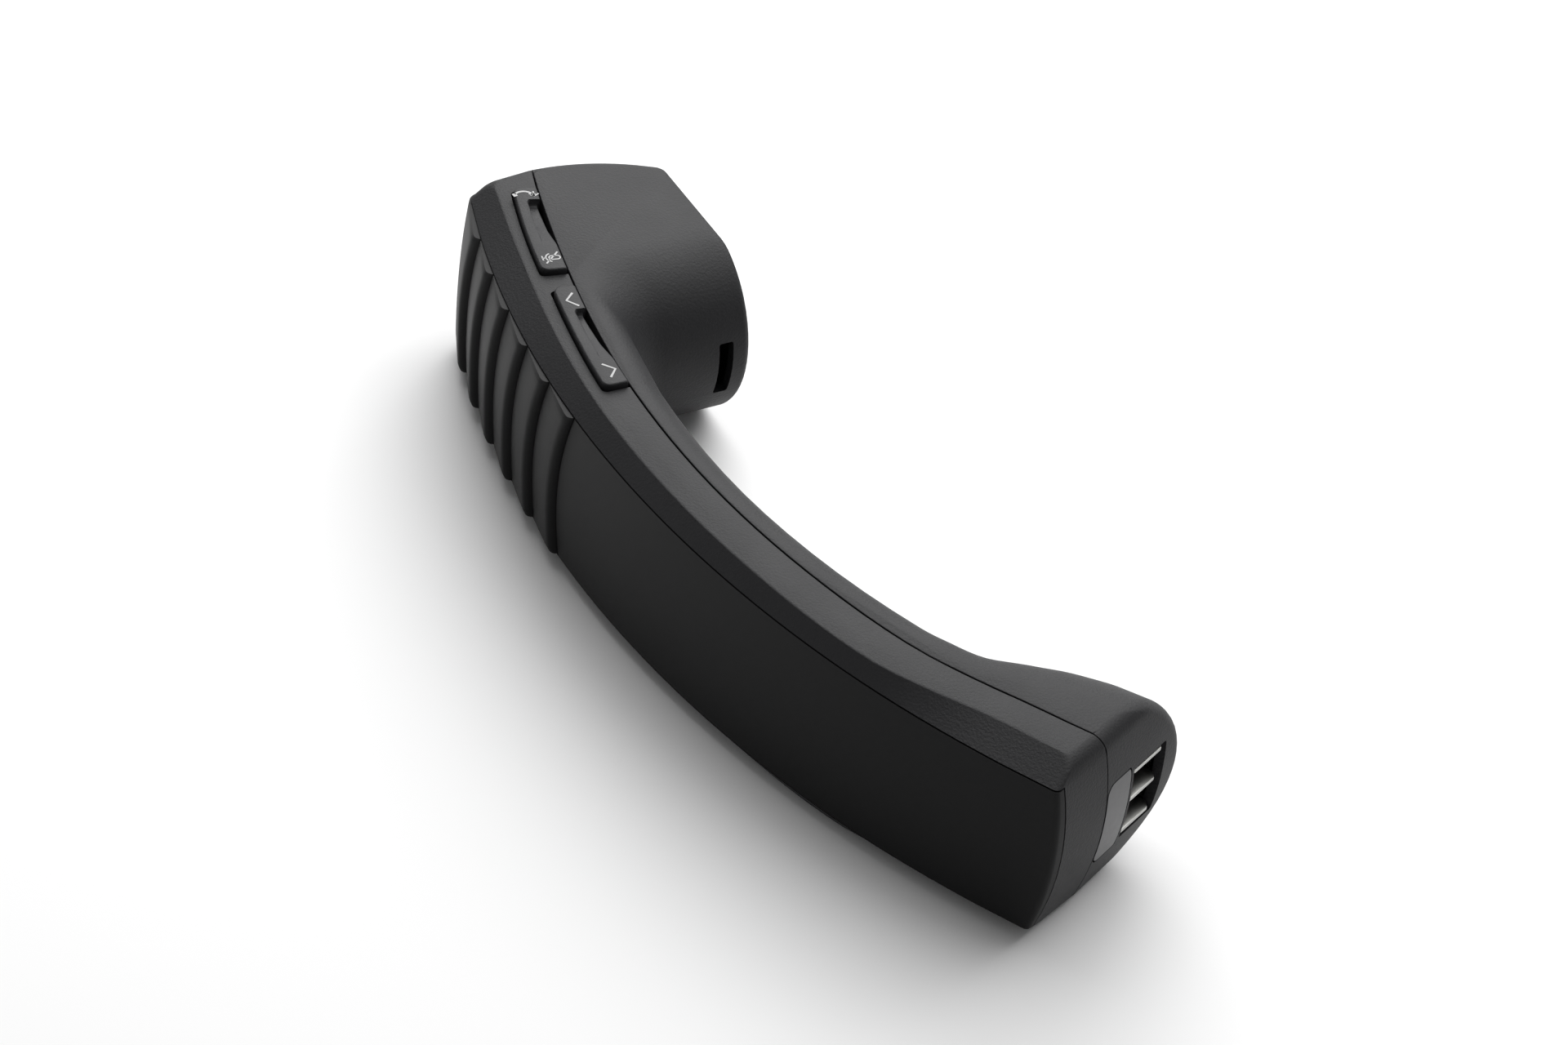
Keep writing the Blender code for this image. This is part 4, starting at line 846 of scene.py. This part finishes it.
def pocket_outline(z):
    """Section of the panel's pocket in the rear shell, which reaches out past the back."""
    outer = -POCKET_OVERCUT
    ear_back = plan_setback(z, EAR_END_BULGE)
    mic_back = plan_setback(z, MIC_END_BULGE) + outer
    top_depth = PANEL_TOP_DEPTH + FIT_GAP
    corners = [(spine(mic_end_station(outer, mic_back), outer), 0.0)]
    corners += [(spine(s, outer), 0.0) for s in spread(BACK_SPAN[1], BACK_SPAN[0], 21)]
    heel = ear_end_station(level_line(outer), ear_back + outer)
    corners.append((spine(heel, outer), HEEL_RADIUS))
    corners.append((spine(ear_end_station(level_line(top_depth), ear_back + outer), top_depth), 0.0))
    inner_back = ear_back + FLOOR_DEPTH
    corners.append((spine(ear_end_station(level_line(top_depth), inner_back), top_depth), 0.0))
    heel = ear_end_station(level_line(FLOOR_DEPTH), inner_back)
    corners.append((spine(heel, FLOOR_DEPTH), HEEL_RADIUS - PANEL_THICKNESS))
    corners += [(spine(s, FLOOR_DEPTH), 0.0) for s in spread(*BACK_SPAN, 21)]
    corners.append((spine(mic_end_station(FLOOR_DEPTH, mic_back), FLOOR_DEPTH), 0.0))
    return rounded(corners)


def soften_side_edges(bm, offset, is_edge):
    """Round the outline edges of both side faces where a rule picks them."""
    picked = []
    for edge in bm.edges:
        first, second = edge.verts
        on_side = abs(abs(first.co.z) - HALF) < 1e-6 and abs(abs(second.co.z) - HALF) < 1e-6
        if on_side and len(edge.link_faces) == 2 and edge.calc_face_angle(0.0) > SIDE_EDGE_ANGLE:
            if is_edge((first.co + second.co) / 2):
                picked.append(edge)
    bevel(bm, picked, offset, 3)


def station_depth(point):
    """Station and depth of a point of the side view."""
    station = BACK_RADIUS * math.atan2(point.x, BACK_RADIUS - point.y)
    return station, BACK_RADIUS - math.hypot(point.x, BACK_RADIUS - point.y)


def near_parting(point):
    station, depth = station_depth(point)
    return abs(depth - through(PARTING_LINE, station)) < SEAM_REACH


def cup_u_outline(half, back=CUP_LIP):
    """U-shaped outline of the ear cup, seen along its axis, for a half width."""
    steps = 48
    outline = [Vector((back, half)), Vector((back, -half))]
    for k in range(steps + 1):
        turn = math.pi * (k / steps - 0.5)
        outline.append(Vector((RIM_STRAIGHT + half * math.cos(turn), half * math.sin(turn))))
    return outline


def label_plate(depth, margin, outward):
    """Thin plate that follows the bulge of the microphone end, its corners rounded."""
    half = LABEL_HALF_WIDTH + margin
    turn = Matrix.Rotation(MIC_END_TILT, 2)

    def outline(z):
        back = plan_setback(z, MIC_END_BULGE)
        corner = max(abs(z) - half + LABEL_CORNER, 0.0)
        trim = LABEL_CORNER - math.sqrt(max(LABEL_CORNER ** 2 - corner ** 2, 0.0))
        low = LABEL_START - margin + trim
        high = LABEL_START + LABEL_LENGTH + margin - trim * LABEL_TOP_TRIM
        corners = [(low, back - outward), (high, back - outward), (high, back + depth), (low, back + depth)]
        return [MIC_END_POINT + turn @ Vector((-below, along)) for along, below in corners]

    return loft(side_levels(half, half - LABEL_CORNER, 6, 9), outline)


def front_cutters():
    """Everything that is taken out of the front shell."""
    inner_levels = side_levels(HALF - SHELL_WALL, HALF - GRIP_CORNER_ACROSS, 7, 7)
    mouth = moved(prism(cup_u_outline(HALF - CUP_LIP), -MOUTH_DEPTH, MOUTH_REACH), cup_upright())
    window_size = (WINDOW_CUT, WINDOW_LENGTH, WINDOW_WIDTH)
    window = block(window_size, (0, WINDOW_START + WINDOW_LENGTH / 2, 0), WINDOW_CORNER)
    slot = block((SLOT_CUT, SLOT_HEIGHT, SLOT_WIDTH), edge_round=SLOT_CORNER)
    slot_frame = at(rim_point(RIM_STRAIGHT + HALF, SLOT_BELOW_RIM), RIM_TILT)
    return [
        loft(inner_levels, lambda z: front_outline(z, SHELL_WALL, below_parting=CUT_PAST)),
        mouth,
        moved(window, on_mic_end(0.0)),
        moved(slot, slot_frame),
        label_plate(LABEL_THICKNESS + FIT_GAP, FIT_GAP, CUT_PAST),
        moved(rod(MIC_HOLE_RADIUS, (0, 0, MIC_HOLE_ENDS[0]), (0, 0, MIC_HOLE_ENDS[1])), mic_frame()),
    ]


class HANDSET_OT_front_shell(bpy.types.Operator):
    """Front half of the case, with both cups, the window, the hook slot and the sound hole"""
    bl_idname = "handset.front_shell"
    bl_label = "Front Shell"

    def execute(self, context):
        levels = side_levels(HALF, HALF - GRIP_CORNER_ACROSS, 14, 13)
        body = loft(levels, front_outline)
        soften_side_edges(body, context.scene.handset_sizes.seam_round, near_parting)
        mesh = finish_cut(cut(to_mesh(body, "front_shell_body"), front_cutters()), "front_case")
        place_piece("front_case", mesh, finish("spark_grained_abs_case"), "handset", "case_black",
                    "front_shell")
        return {"FINISHED"}


# ---------------------------------------------------------------- rear shell and back panel


class HANDSET_OT_rear_shell(bpy.types.Operator):
    """Rear half of the case, with the panel's pocket and the openings of the keys"""
    bl_idname = "handset.rear_shell"
    bl_label = "Rear Shell"

    def execute(self, context):
        corner = HALF - END_CORNER_RADIUS
        side = spread(0.0, PANEL_HALF_WIDTH, 6)
        side += [corner + END_CORNER_RADIUS * math.sin(math.pi / 2 * k / 8) for k in range(2, 9)]
        body = loft(sorted({-z for z in side} | set(side)), rear_outline)
        soften_side_edges(body, context.scene.handset_sizes.seam_round, near_parting)
        soften_side_edges(body, REAR_EDGE_ROUND, lambda point: not near_parting(point))
        hollow_levels = spread(-REAR_INNER_HALF, REAR_INNER_HALF, 5)
        pocket_half = PANEL_HALF_WIDTH + FIT_GAP / 2
        cutters = [loft(hollow_levels, rear_hollow_outline),
                   loft(spread(-pocket_half, pocket_half, 9), pocket_outline)]
        for span in (CALL_MUTE_SPAN, VOLUME_SPAN):
            outline = key_outline(span, KEY_GAP, -KEY_OPENING_PAST)
            cutters.append(prism(outline, REAR_INNER_HALF - CUT_PAST, HALF + CUT_PAST))
        mesh = finish_cut(cut(to_mesh(body, "rear_shell_body"), cutters), "rear_case")
        place_piece("rear_case", mesh, finish("spark_grained_abs_case"), "handset", "case_black",
                    "rear_shell")
        return {"FINISHED"}


def ridge_profile(height):
    """Section of one ridge from its foot: (run towards the ear end, rise above the back)."""
    return [(-0.00050, 0.0), (-0.00015, -0.00040), (0.00015, -0.00035), (0.00040, 0.35 * height),
            (0.00080, 0.78 * height), (0.00115, 0.93 * height), (0.00160, height), (0.00230, 0.985 * height),
            (0.00450, 0.80 * height), (0.00700, 0.53 * height), (0.00950, 0.26 * height),
            (0.01160, 0.06 * height)]


def panel_outline(z, ridge_height):
    """Section of the back panel, with its ridges, at a height across the width."""
    across = (z / PANEL_HALF_WIDTH) ** 2
    crown = PANEL_CROWN * (1 - across)
    tip = min(max((abs(z) - PANEL_HALF_WIDTH + RIDGE_TIP_RUN) / RIDGE_TIP_RUN, 0.0), 1.0)
    height = ridge_height * (1 - RIDGE_TIP_DROP * tip)
    ear_back = plan_setback(z, EAR_END_BULGE)
    mic_back = plan_setback(z, MIC_END_BULGE)
    sag = RIDGE_SAG * (1 - across)
    first = RIDGE_LAST - sag
    corners = [(spine(mic_end_station(-crown, mic_back), -crown), PANEL_END_ROUND)]
    for station in spread(BACK_SPAN[1], first + RIDGE_PITCH * 0.4, 26):
        corners.append((spine(station, -crown), 0.0))
    for k in range(RIDGE_COUNT):
        foot = first - k * RIDGE_PITCH
        profile = ridge_profile(height)
        for run, rise in profile[:-3] if k == RIDGE_COUNT - 1 else profile:
            corners.append((spine(foot - run, -crown - rise), 0.0))
    heel = ear_end_station(level_line(0.0), ear_back)
    corners.append((spine(heel, -crown * 0.5), HEEL_RADIUS))
    for depth in spread(HEEL_RADIUS + 0.0008, PANEL_TOP_DEPTH, 5):
        corners.append((spine(ear_end_station(level_line(depth), ear_back), depth), 0.0))
    inner_back = ear_back + PANEL_THICKNESS
    for depth in spread(PANEL_TOP_DEPTH, HEEL_RADIUS + 0.0008, 5):
        corners.append((spine(ear_end_station(level_line(depth), inner_back), depth), 0.0))
    heel = ear_end_station(level_line(PANEL_THICKNESS), inner_back)
    corners.append((spine(heel, PANEL_THICKNESS), HEEL_RADIUS - PANEL_THICKNESS))
    corners += [(spine(s, PANEL_THICKNESS), 0.0) for s in spread(*BACK_SPAN, 26)]
    corners.append((spine(mic_end_station(PANEL_THICKNESS, mic_back), PANEL_THICKNESS), 0.0))
    return rounded(corners)


class HANDSET_OT_back_panel(bpy.types.Operator):
    """Satin back panel with its six finger ridges, wrapped round the ear end"""
    bl_idname = "handset.back_panel"
    bl_label = "Back Panel"

    def execute(self, context):
        height = context.scene.handset_sizes.ridge_height
        edge = PANEL_HALF_WIDTH - FIT_GAP / 2
        tip = edge - RIDGE_TIP_RUN
        side = spread(tip, edge, 4)
        levels = [-z for z in reversed(side)] + spread(-tip, tip, 25)[1:-1] + side
        body = loft(levels, lambda z: panel_outline(z, height))
        mesh = to_mesh(body, "satin_back_panel", PANEL_SHARP_ANGLE)
        place_piece("satin_back_panel", mesh, finish("satin_abs_panel"), "handset", "panel_satin_black",
                    "back_panel")
        return {"FINISHED"}


# ---------------------------------------------------------------- side keys


def key_outline(span, grow, front_gap):
    """Outline of a side key in the side view, grown, and a gap short of the parting line."""
    front = -FIT_GAP / 2 - front_gap
    stations = spread(span[0] - grow, span[1] + grow, 15)
    ends = (0, len(stations) - 1)
    corners = []
    for i, station in enumerate(stations):
        back = through(KEY_BACK_LINE, station) - grow
        corners.append((spine(station, back), KEY_CORNER if i in ends else 0.0))
    for i, station in enumerate(reversed(stations)):
        depth = through(PARTING_LINE, station) + front
        corners.append((spine(station, depth), KEY_FRONT_CORNER if i in ends else 0.0))
    return rounded(corners, 6)


def round_drop(run, radius):
    """How far a quarter round falls away at a distance inside its edge."""
    short = max(radius - run, 0.0)
    return radius - math.sqrt(max(radius ** 2 - short ** 2, 0.0))


def pocket_drop(station, pocket_span):
    """Depth of a key's finger pocket: a steep wall at its ear end, then a floor that rises to nothing."""
    low, high = pocket_span
    if not low < station < high:
        return 0.0
    wall = min((station - low) / POCKET_WALL_RUN, 1.0)
    return POCKET_DEPTH * math.sqrt(1 - (1 - wall) ** 2) * (high - station) / (high - low)


def key_section(station, span, pocket_span, edge_round, foot):
    """Section of a key across its width at a station: (depth, height) points."""
    inside = min(station - span[0], span[1] - station)
    back = through(KEY_BACK_LINE, station) + round_drop(inside, KEY_CORNER)
    front = through(PARTING_LINE, station) - FIT_GAP / 2 - KEY_GAP
    crest = KEY_TOP - MARK_RAISE - round_drop(inside, edge_round)
    drop = pocket_drop(station, pocket_span)
    front -= POCKET_OPENING * min(drop / POCKET_OPENING, 1.0)
    lip = through(KEY_BACK_LINE, station) + POCKET_MARGIN
    lip += round_drop(max(station - pocket_span[0], 0.0), POCKET_CORNER) if drop > 0 else 0.0
    lip = max(lip, back + edge_round + POCKET_LIP)
    section = [(back, foot)]
    for k in range(5):
        turn = math.pi / 2 * k / 4
        section.append((back + edge_round * (1 - math.cos(turn)), crest - edge_round * (1 - math.sin(turn))))
    section += [(lip - POCKET_LIP, crest), (lip, crest - 0.15 * drop),
                (lip + POCKET_LIP / 2, crest - 0.85 * drop), (lip + POCKET_LIP, crest - drop)]
    for k in range(4):
        turn = math.pi / 2 * k / 3
        section.append((front - edge_round * (1 - math.sin(turn)),
                        crest - drop - edge_round * (1 - math.cos(turn))))
    return section + [(front, foot)]


def key_body(span, pocket_span, edge_round):
    """Cap of a key with its finger pocket, and the flange under the case wall."""
    flange_top = REAR_INNER_HALF - FLANGE_BELOW_WALL
    turn = [KEY_CORNER * (1 - math.cos(math.pi / 2 * k / 8)) for k in range(9)]
    wall = [pocket_span[0] + POCKET_WALL_RUN * k / 5 for k in range(6)]
    stations = [span[0] + t for t in turn] + [span[1] - t for t in turn] + wall
    stations = sorted(stations + spread(span[0] + KEY_CORNER * 1.2, span[1] - KEY_CORNER * 1.2, 30))
    rings = []
    for station in stations:
        section = key_section(station, span, pocket_span, edge_round, flange_top - FLANGE_OVERLAP)
        rings.append([(*spine(station, depth), height) for depth, height in section])
    bm = skin(rings)
    outline = key_outline(span, FLANGE_MARGIN, KEY_GAP)
    flange = prism(outline, flange_top - FLANGE_THICKNESS, flange_top)
    rest = bpy.data.meshes.new("key_flange")
    flange.to_mesh(rest)
    flange.free()
    bm.from_mesh(rest)
    bpy.data.meshes.remove(rest)
    return bm


def ribbon(points, width, closed=False):
    """Flat outline of a stroke of one width along points."""
    count = len(points)
    left = []
    right = []
    for i, point in enumerate(points):
        before = points[i - 1] if closed or i > 0 else point
        after = points[(i + 1) % count] if closed or i < count - 1 else point
        way = (after - before).normalized()
        side = Vector((-way.y, way.x)) * width / 2
        left.append(point + side)
        right.append(point - side)
    return left, right


def stroke(bm, points, width, closed=False):
    """Raised stroke along points of the side view, on top of a key."""
    left, right = ribbon(points, width, closed)
    low = KEY_TOP - MARK_RAISE * 1.5
    rings = []
    for line in (left, right):
        verts = [bm.verts.new((p.x, p.y, low)) for p in line]
        pairs = list(zip(verts, verts[1:]))
        if closed:
            pairs.append((verts[-1], verts[0]))
        rings.append([bm.edges.new(pair) for pair in pairs])
    if closed:
        made = bmesh.ops.bridge_loops(bm, edges=rings[0] + rings[1])["faces"]
    else:
        first = bm.edges.new((rings[0][0].verts[0], rings[1][0].verts[0]))
        last = bm.edges.new((rings[0][-1].verts[1], rings[1][-1].verts[1]))
        made = bmesh.ops.contextual_create(bm, geom=rings[0] + rings[1] + [first, last])["faces"]
    raised = bmesh.ops.extrude_face_region(bm, geom=made)
    tops = [v for v in raised["geom"] if isinstance(v, bmesh.types.BMVert)]
    bmesh.ops.translate(bm, verts=tops, vec=(0, 0, KEY_TOP - low))


def arc(centre, radius, start, end, steps):
    """Points along an arc, its angles in degrees."""
    turns = spread(math.radians(start), math.radians(end), steps)
    return [centre + Vector((math.cos(t), math.sin(t))) * radius for t in turns]


def on_key(station, depth):
    """Function that places symbol drawings, in millimetres, at a spot of the side."""
    centre = spine(station, depth)
    turn = Matrix.Rotation(station / BACK_RADIUS, 2)
    return lambda points: [centre + turn @ (Vector(p) * 0.001) for p in points]


def receiver_mark(bm, width):
    """Telephone receiver with a thick piece at each of its ends, and one arrow beside it."""
    place = on_key(-0.1056, 0.0108)
    bow = arc(Vector((1.1, 0.0)), 2.4, 126, 234, 13)
    stroke(bm, place(bow), width)
    for end, way in ((bow[0], 1), (bow[-1], -1)):
        foot = [end + Vector((-0.25, 0.25 * way)), end + Vector((0.75, -0.10 * way))]
        stroke(bm, place(foot), width * 1.9)
    arrow = on_key(-0.1060, 0.0130)
    stroke(bm, arrow([(-0.1, -1.1), (0.9, 0.0), (-0.1, 1.1)]), width * 0.7)
    stroke(bm, arrow([(-0.9, 0.0), (0.85, 0.0)]), width * 0.7)


def mute_mark(bm, width):
    """Microphone struck out."""
    place = on_key(-0.0817, 0.0121)
    fine = width * 0.62
    capsule = arc(Vector((0.0, 1.15)), 0.66, 0, 180, 9) + arc(Vector((0.0, 0.0)), 0.66, 180, 360, 9)
    stroke(bm, place(capsule), fine, closed=True)
    stroke(bm, place(arc(Vector((0.0, 0.1)), 1.45, 195, 345, 13)), fine)
    stroke(bm, place([(0.0, -1.35), (0.0, -2.1)]), fine)
    stroke(bm, place([(-0.8, -2.1), (0.8, -2.1)]), fine)
    stroke(bm, place([(-1.9, 1.7), (1.9, -1.7)]), fine * 1.2)


def volume_marks(bm, width):
    """Two chevrons, one for louder and one for softer."""
    for station, depth, way in ((-0.0659, 0.0118, -1), (-0.0403, 0.0111, 1)):
        place = on_key(station, depth)
        stroke(bm, place([(-2.3, -1.05 * way), (0.0, 1.05 * way), (2.3, -1.05 * way)]), width)


class HANDSET_OT_side_keys(bpy.types.Operator):
    """The two rocking side keys, with their printed symbols"""
    bl_idname = "handset.side_keys"
    bl_label = "Side Keys"

    def execute(self, context):
        sizes = context.scene.handset_sizes
        rows = (("call_mute_key", CALL_MUTE_SPAN, CALL_MUTE_POCKET, (receiver_mark, mute_mark)),
                ("volume_key", VOLUME_SPAN, VOLUME_POCKET, (volume_marks,)))
        for node, span, pocket_span, marks in rows:
            mesh = to_mesh(key_body(span, pocket_span, sizes.key_round), f"{node}_cap")
            place_piece(f"{node}_cap", mesh, finish("spark_grained_abs_key"), node, "key_black", node)
            bm = bmesh.new()
            for draw in marks:
                draw(bm, sizes.mark_stroke)
            place_piece(f"{node}_symbols", to_mesh(bm, f"{node}_symbols"), finish("pad_printed_ink"),
                        node, "label_grey")
        return {"FINISHED"}


# ---------------------------------------------------------------- ear cap and charging window


class HANDSET_OT_ear_cap(bpy.types.Operator):
    """Perforated cover of the ear cup"""
    bl_idname = "handset.ear_cap"
    bl_label = "Ear Cap"

    def execute(self, context):
        half = HALF - CUP_LIP - FIT_GAP
        top = -EAR_CAP_SETBACK
        plate = prism(cup_u_outline(half, CUP_LIP + FIT_GAP), top - EAR_CAP_THICKNESS, top, EAR_CAP_ROUND)
        cutters = []
        for ring, count in enumerate((1, 6, 12)):
            radius = ring * EAR_HOLE_PITCH
            for k in range(count):
                turn = 2 * math.pi * k / count
                spot = (RIM_STRAIGHT + radius * math.cos(turn), radius * math.sin(turn))
                hole = rod(EAR_HOLE_RADIUS, (*spot, EAR_HOLE_ENDS[0]), (*spot, EAR_HOLE_ENDS[1]), 24)
                cutters.append(moved(hole, cup_upright()))
        mesh = cut(to_mesh(moved(plate, cup_upright()), "ear_cap_plate"), cutters)
        place_piece("ear_cup_cover", finish_cut(mesh, "ear_cup_cover"), finish("moulded_abs_inner"),
                    "handset", "moulded_black", "ear_cap")
        return {"FINISHED"}


class HANDSET_OT_window(bpy.types.Operator):
    """Charging window: its well, the contact blades and the film label beside it"""
    bl_idname = "handset.window"
    bl_label = "Charging Window"

    def execute(self, context):
        label = to_mesh(label_plate(LABEL_THICKNESS, 0.0, 0.0), "film_label")
        place_piece("film_label", label, finish("label_polyester_film"), "handset", "label_grey",
                    "rating_label")
        frame_here = on_mic_end(WINDOW_START + WINDOW_LENGTH / 2)
        depth = CARRIER_SETBACK + CARRIER_DEPTH - SHELL_WALL - FIT_GAP - MIC_END_BULGE * 0.1
        size = (depth, WINDOW_LENGTH + WELL_MARGIN[0], WINDOW_WIDTH + WELL_MARGIN[1])
        well = block(size, (-CARRIER_SETBACK - CARRIER_DEPTH + depth / 2, -WELL_DROP, 0), WELL_CORNER)
        hole = block((depth, WINDOW_LENGTH - WELL_LINING[0], WINDOW_WIDTH - WELL_LINING[1]),
                     (-CARRIER_SETBACK + depth / 2, 0, 0), WELL_MOUTH_CORNER)
        cutters = [moved(hole, frame_here)]
        levels = [(k - (BLADE_COUNT - 1) / 2) * BLADE_PITCH for k in range(BLADE_COUNT)]
        groove_size = (GROOVE_DEPTH, WINDOW_LENGTH - 2 * BLADE_CLEARANCE + 2 * FIT_GAP,
                       BLADE_THICKNESS + 2 * FIT_GAP)
        for level in levels:
            cutters.append(moved(block(groove_size, (-GROOVE_SETBACK, 0, level)), frame_here))
        mesh = finish_cut(cut(to_mesh(moved(well, frame_here), "well_body"), cutters), "contact_well")
        place_piece("contact_well", mesh, finish("polished_abs_window"), "handset", "gloss_black",
                    "contact_carrier")
        for count, level in enumerate(levels, 1):
            mesh = to_mesh(moved(blade_body(level), frame_here), f"contact_fin_{count}")
            place_piece(f"contact_fin_{count}", mesh, finish("plated_contact"), "handset", "contact_nickel",
                        f"contact_blade_{count}")
        return {"FINISHED"}


def blade_body(level):
    """Contact blade whose free edge slopes inwards, with its edges eased."""
    half = WINDOW_LENGTH / 2 - BLADE_CLEARANCE
    root = -CARRIER_SETBACK - BLADE_ROOT
    outline = [Vector((root, -half)), Vector((-0.0012, -half)), Vector((-0.0007, -half + 0.0005)),
               Vector((-0.0006, half - 0.0014)), Vector((-0.0018, half)), Vector((root, half))]
    bm = prism(outline, -BLADE_THICKNESS / 2, BLADE_THICKNESS / 2)
    bevel(bm, bm.edges[:], BLADE_EDGE_ROUND, 2)
    bmesh.ops.translate(bm, verts=bm.verts, vec=(0, 0, level))
    return bm


# ---------------------------------------------------------------- kept inner pieces


def numbered(name, count):
    return [f"{name}_{k + 1}" for k in range(count)]


class HANDSET_OT_inner_finishes(bpy.types.Operator):
    """Finishes of the inner pieces that keep their shape"""
    bl_idname = "handset.inner_finishes"
    bl_label = "Inner Finishes"

    def execute(self, context):
        finishes = {
            "zinc_plated_steel": ["earpiece_speaker", "hook_magnet", "mic_capsule", "ballast_weight",
                                  *numbered("housing_screw", 3)],
            "bright_nickel_plate": [*numbered("key_pin", 2), "radio_shield", "antenna"],
            "polished_abs_window": ["processor_chip", "memory_chip", *numbered("tact_switch", 4)],
            "moulded_abs_inner": [*numbered("key_saddle", 2), *numbered("switch_plunger", 4)],
            "battery_laminate": ["battery"],
            "socket_nylon": ["battery_socket"],
            "solder_masked_board": ["main_board", "side_key_board"],
            "open_cell_foam": ["battery_pad", "speaker_gasket"],
            "moulded_rubber": ["mic_boot"],
            "acoustic_cloth_weave": ["ear_cloth"],
            "lead_insulation_red": ["earpiece_lead", "battery_lead"],
            "lead_insulation_black": ["microphone_lead", "charging_lead"],
        }
        for name, nodes in finishes.items():
            for node in nodes:
                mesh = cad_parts[node].data
                mesh.materials.clear()
                mesh.materials.append(finish(name))
        return {"FINISHED"}


# ---------------------------------------------------------------- stage


LIGHT_TARGET = (0.0, 0.0, 0.03)
FLOOR_REACH = 3.0
WORLD_STRENGTH = 0.25
CAMERA_LENS = 105.0
CAMERA_SENSOR = 36.0
CAMERA_PLACE = (0.555036, -0.488777, 0.634853)
# the ways that are right and up in the picture
CAMERA_RIGHT = Vector((0.57724394, 0.80692590, 0.12514004))
CAMERA_UP = Vector((-0.57721023, 0.29481583, 0.76151952))


def soft_box(name, place, size, power):
    """Large rectangular light that faces the middle of the handset."""
    lamp = bpy.data.lights.new(name, "AREA")
    lamp.shape = "RECTANGLE"
    lamp.size = size[0]
    lamp.size_y = size[1]
    lamp.energy = power
    made = new_object(name, lamp)
    way = Vector(LIGHT_TARGET) - Vector(place)
    made.matrix_world = Matrix.Translation(place) @ way.to_track_quat("-Z", "Y").to_matrix().to_4x4()


class HANDSET_OT_stage(bpy.types.Operator):
    """Pale floor, soft lights, world and camera"""
    bl_idname = "handset.stage"
    bl_label = "Stage"

    def execute(self, context):
        bm = bmesh.new()
        bmesh.ops.create_grid(bm, x_segments=2, y_segments=2, size=FLOOR_REACH)
        mesh = bpy.data.meshes.new("floor")
        bm.to_mesh(mesh)
        bm.free()
        mesh.materials.append(finish("seamless_paper"))
        new_object("floor", mesh)
        soft_box("top_light", (-0.30, 0.45, 1.00), (1.6, 1.3), 17.0)
        soft_box("rear_light", (-0.95, 0.75, 0.75), (1.1, 0.8), 10.0)
        world = bpy.data.worlds.new("studio")
        world.use_nodes = True
        world.node_tree.nodes["Background"].inputs["Color"].default_value = linear("#ffffff")
        world.node_tree.nodes["Background"].inputs["Strength"].default_value = WORLD_STRENGTH
        context.scene.world = world
        context.scene.view_settings.view_transform = "Standard"
        lens = bpy.data.cameras.new("camera")
        lens.lens = CAMERA_LENS
        lens.sensor_width = CAMERA_SENSOR
        camera = new_object("camera", lens)
        turn = Matrix((CAMERA_RIGHT, CAMERA_UP, CAMERA_RIGHT.cross(CAMERA_UP))).transposed()
        camera.matrix_world = Matrix.Translation(CAMERA_PLACE) @ turn.to_4x4()
        context.scene.camera = camera
        return {"FINISHED"}


# ---------------------------------------------------------------- panel and registration


OPERATORS = (HANDSET_OT_front_shell, HANDSET_OT_rear_shell, HANDSET_OT_back_panel, HANDSET_OT_side_keys,
             HANDSET_OT_ear_cap, HANDSET_OT_window, HANDSET_OT_inner_finishes, HANDSET_OT_stage)


class HANDSET_PT_panel(bpy.types.Panel):
    """Sizes, colours and pieces of the handset"""
    bl_idname = "HANDSET_PT_panel"
    bl_label = "Cordless Handset"
    bl_space_type = "VIEW_3D"
    bl_region_type = "UI"
    bl_category = "Handset"

    def draw(self, context):
        for group in (context.scene.handset_sizes, context.scene.handset_colours):
            column = self.layout.column()
            for name in group.bl_rna.properties.keys():
                if name not in ("rna_type", "name"):
                    column.prop(group, name)
        for operator in OPERATORS:
            self.layout.operator(operator.bl_idname)


CLASSES = (HandsetSizes, HandsetColours, *OPERATORS, HANDSET_PT_panel)


def register():
    for item in CLASSES:
        bpy.utils.register_class(item)
    bpy.types.Scene.handset_sizes = bpy.props.PointerProperty(type=HandsetSizes)
    bpy.types.Scene.handset_colours = bpy.props.PointerProperty(type=HandsetColours)


def unregister():
    del bpy.types.Scene.handset_colours
    del bpy.types.Scene.handset_sizes
    for item in reversed(CLASSES):
        bpy.utils.unregister_class(item)


def main():
    register()
    bpy.ops.handset.front_shell()
    bpy.ops.handset.rear_shell()
    bpy.ops.handset.back_panel()
    bpy.ops.handset.side_keys()
    bpy.ops.handset.ear_cap()
    bpy.ops.handset.window()
    bpy.ops.handset.inner_finishes()
    bpy.ops.handset.stage()


if __name__ == "__main__":
    main()
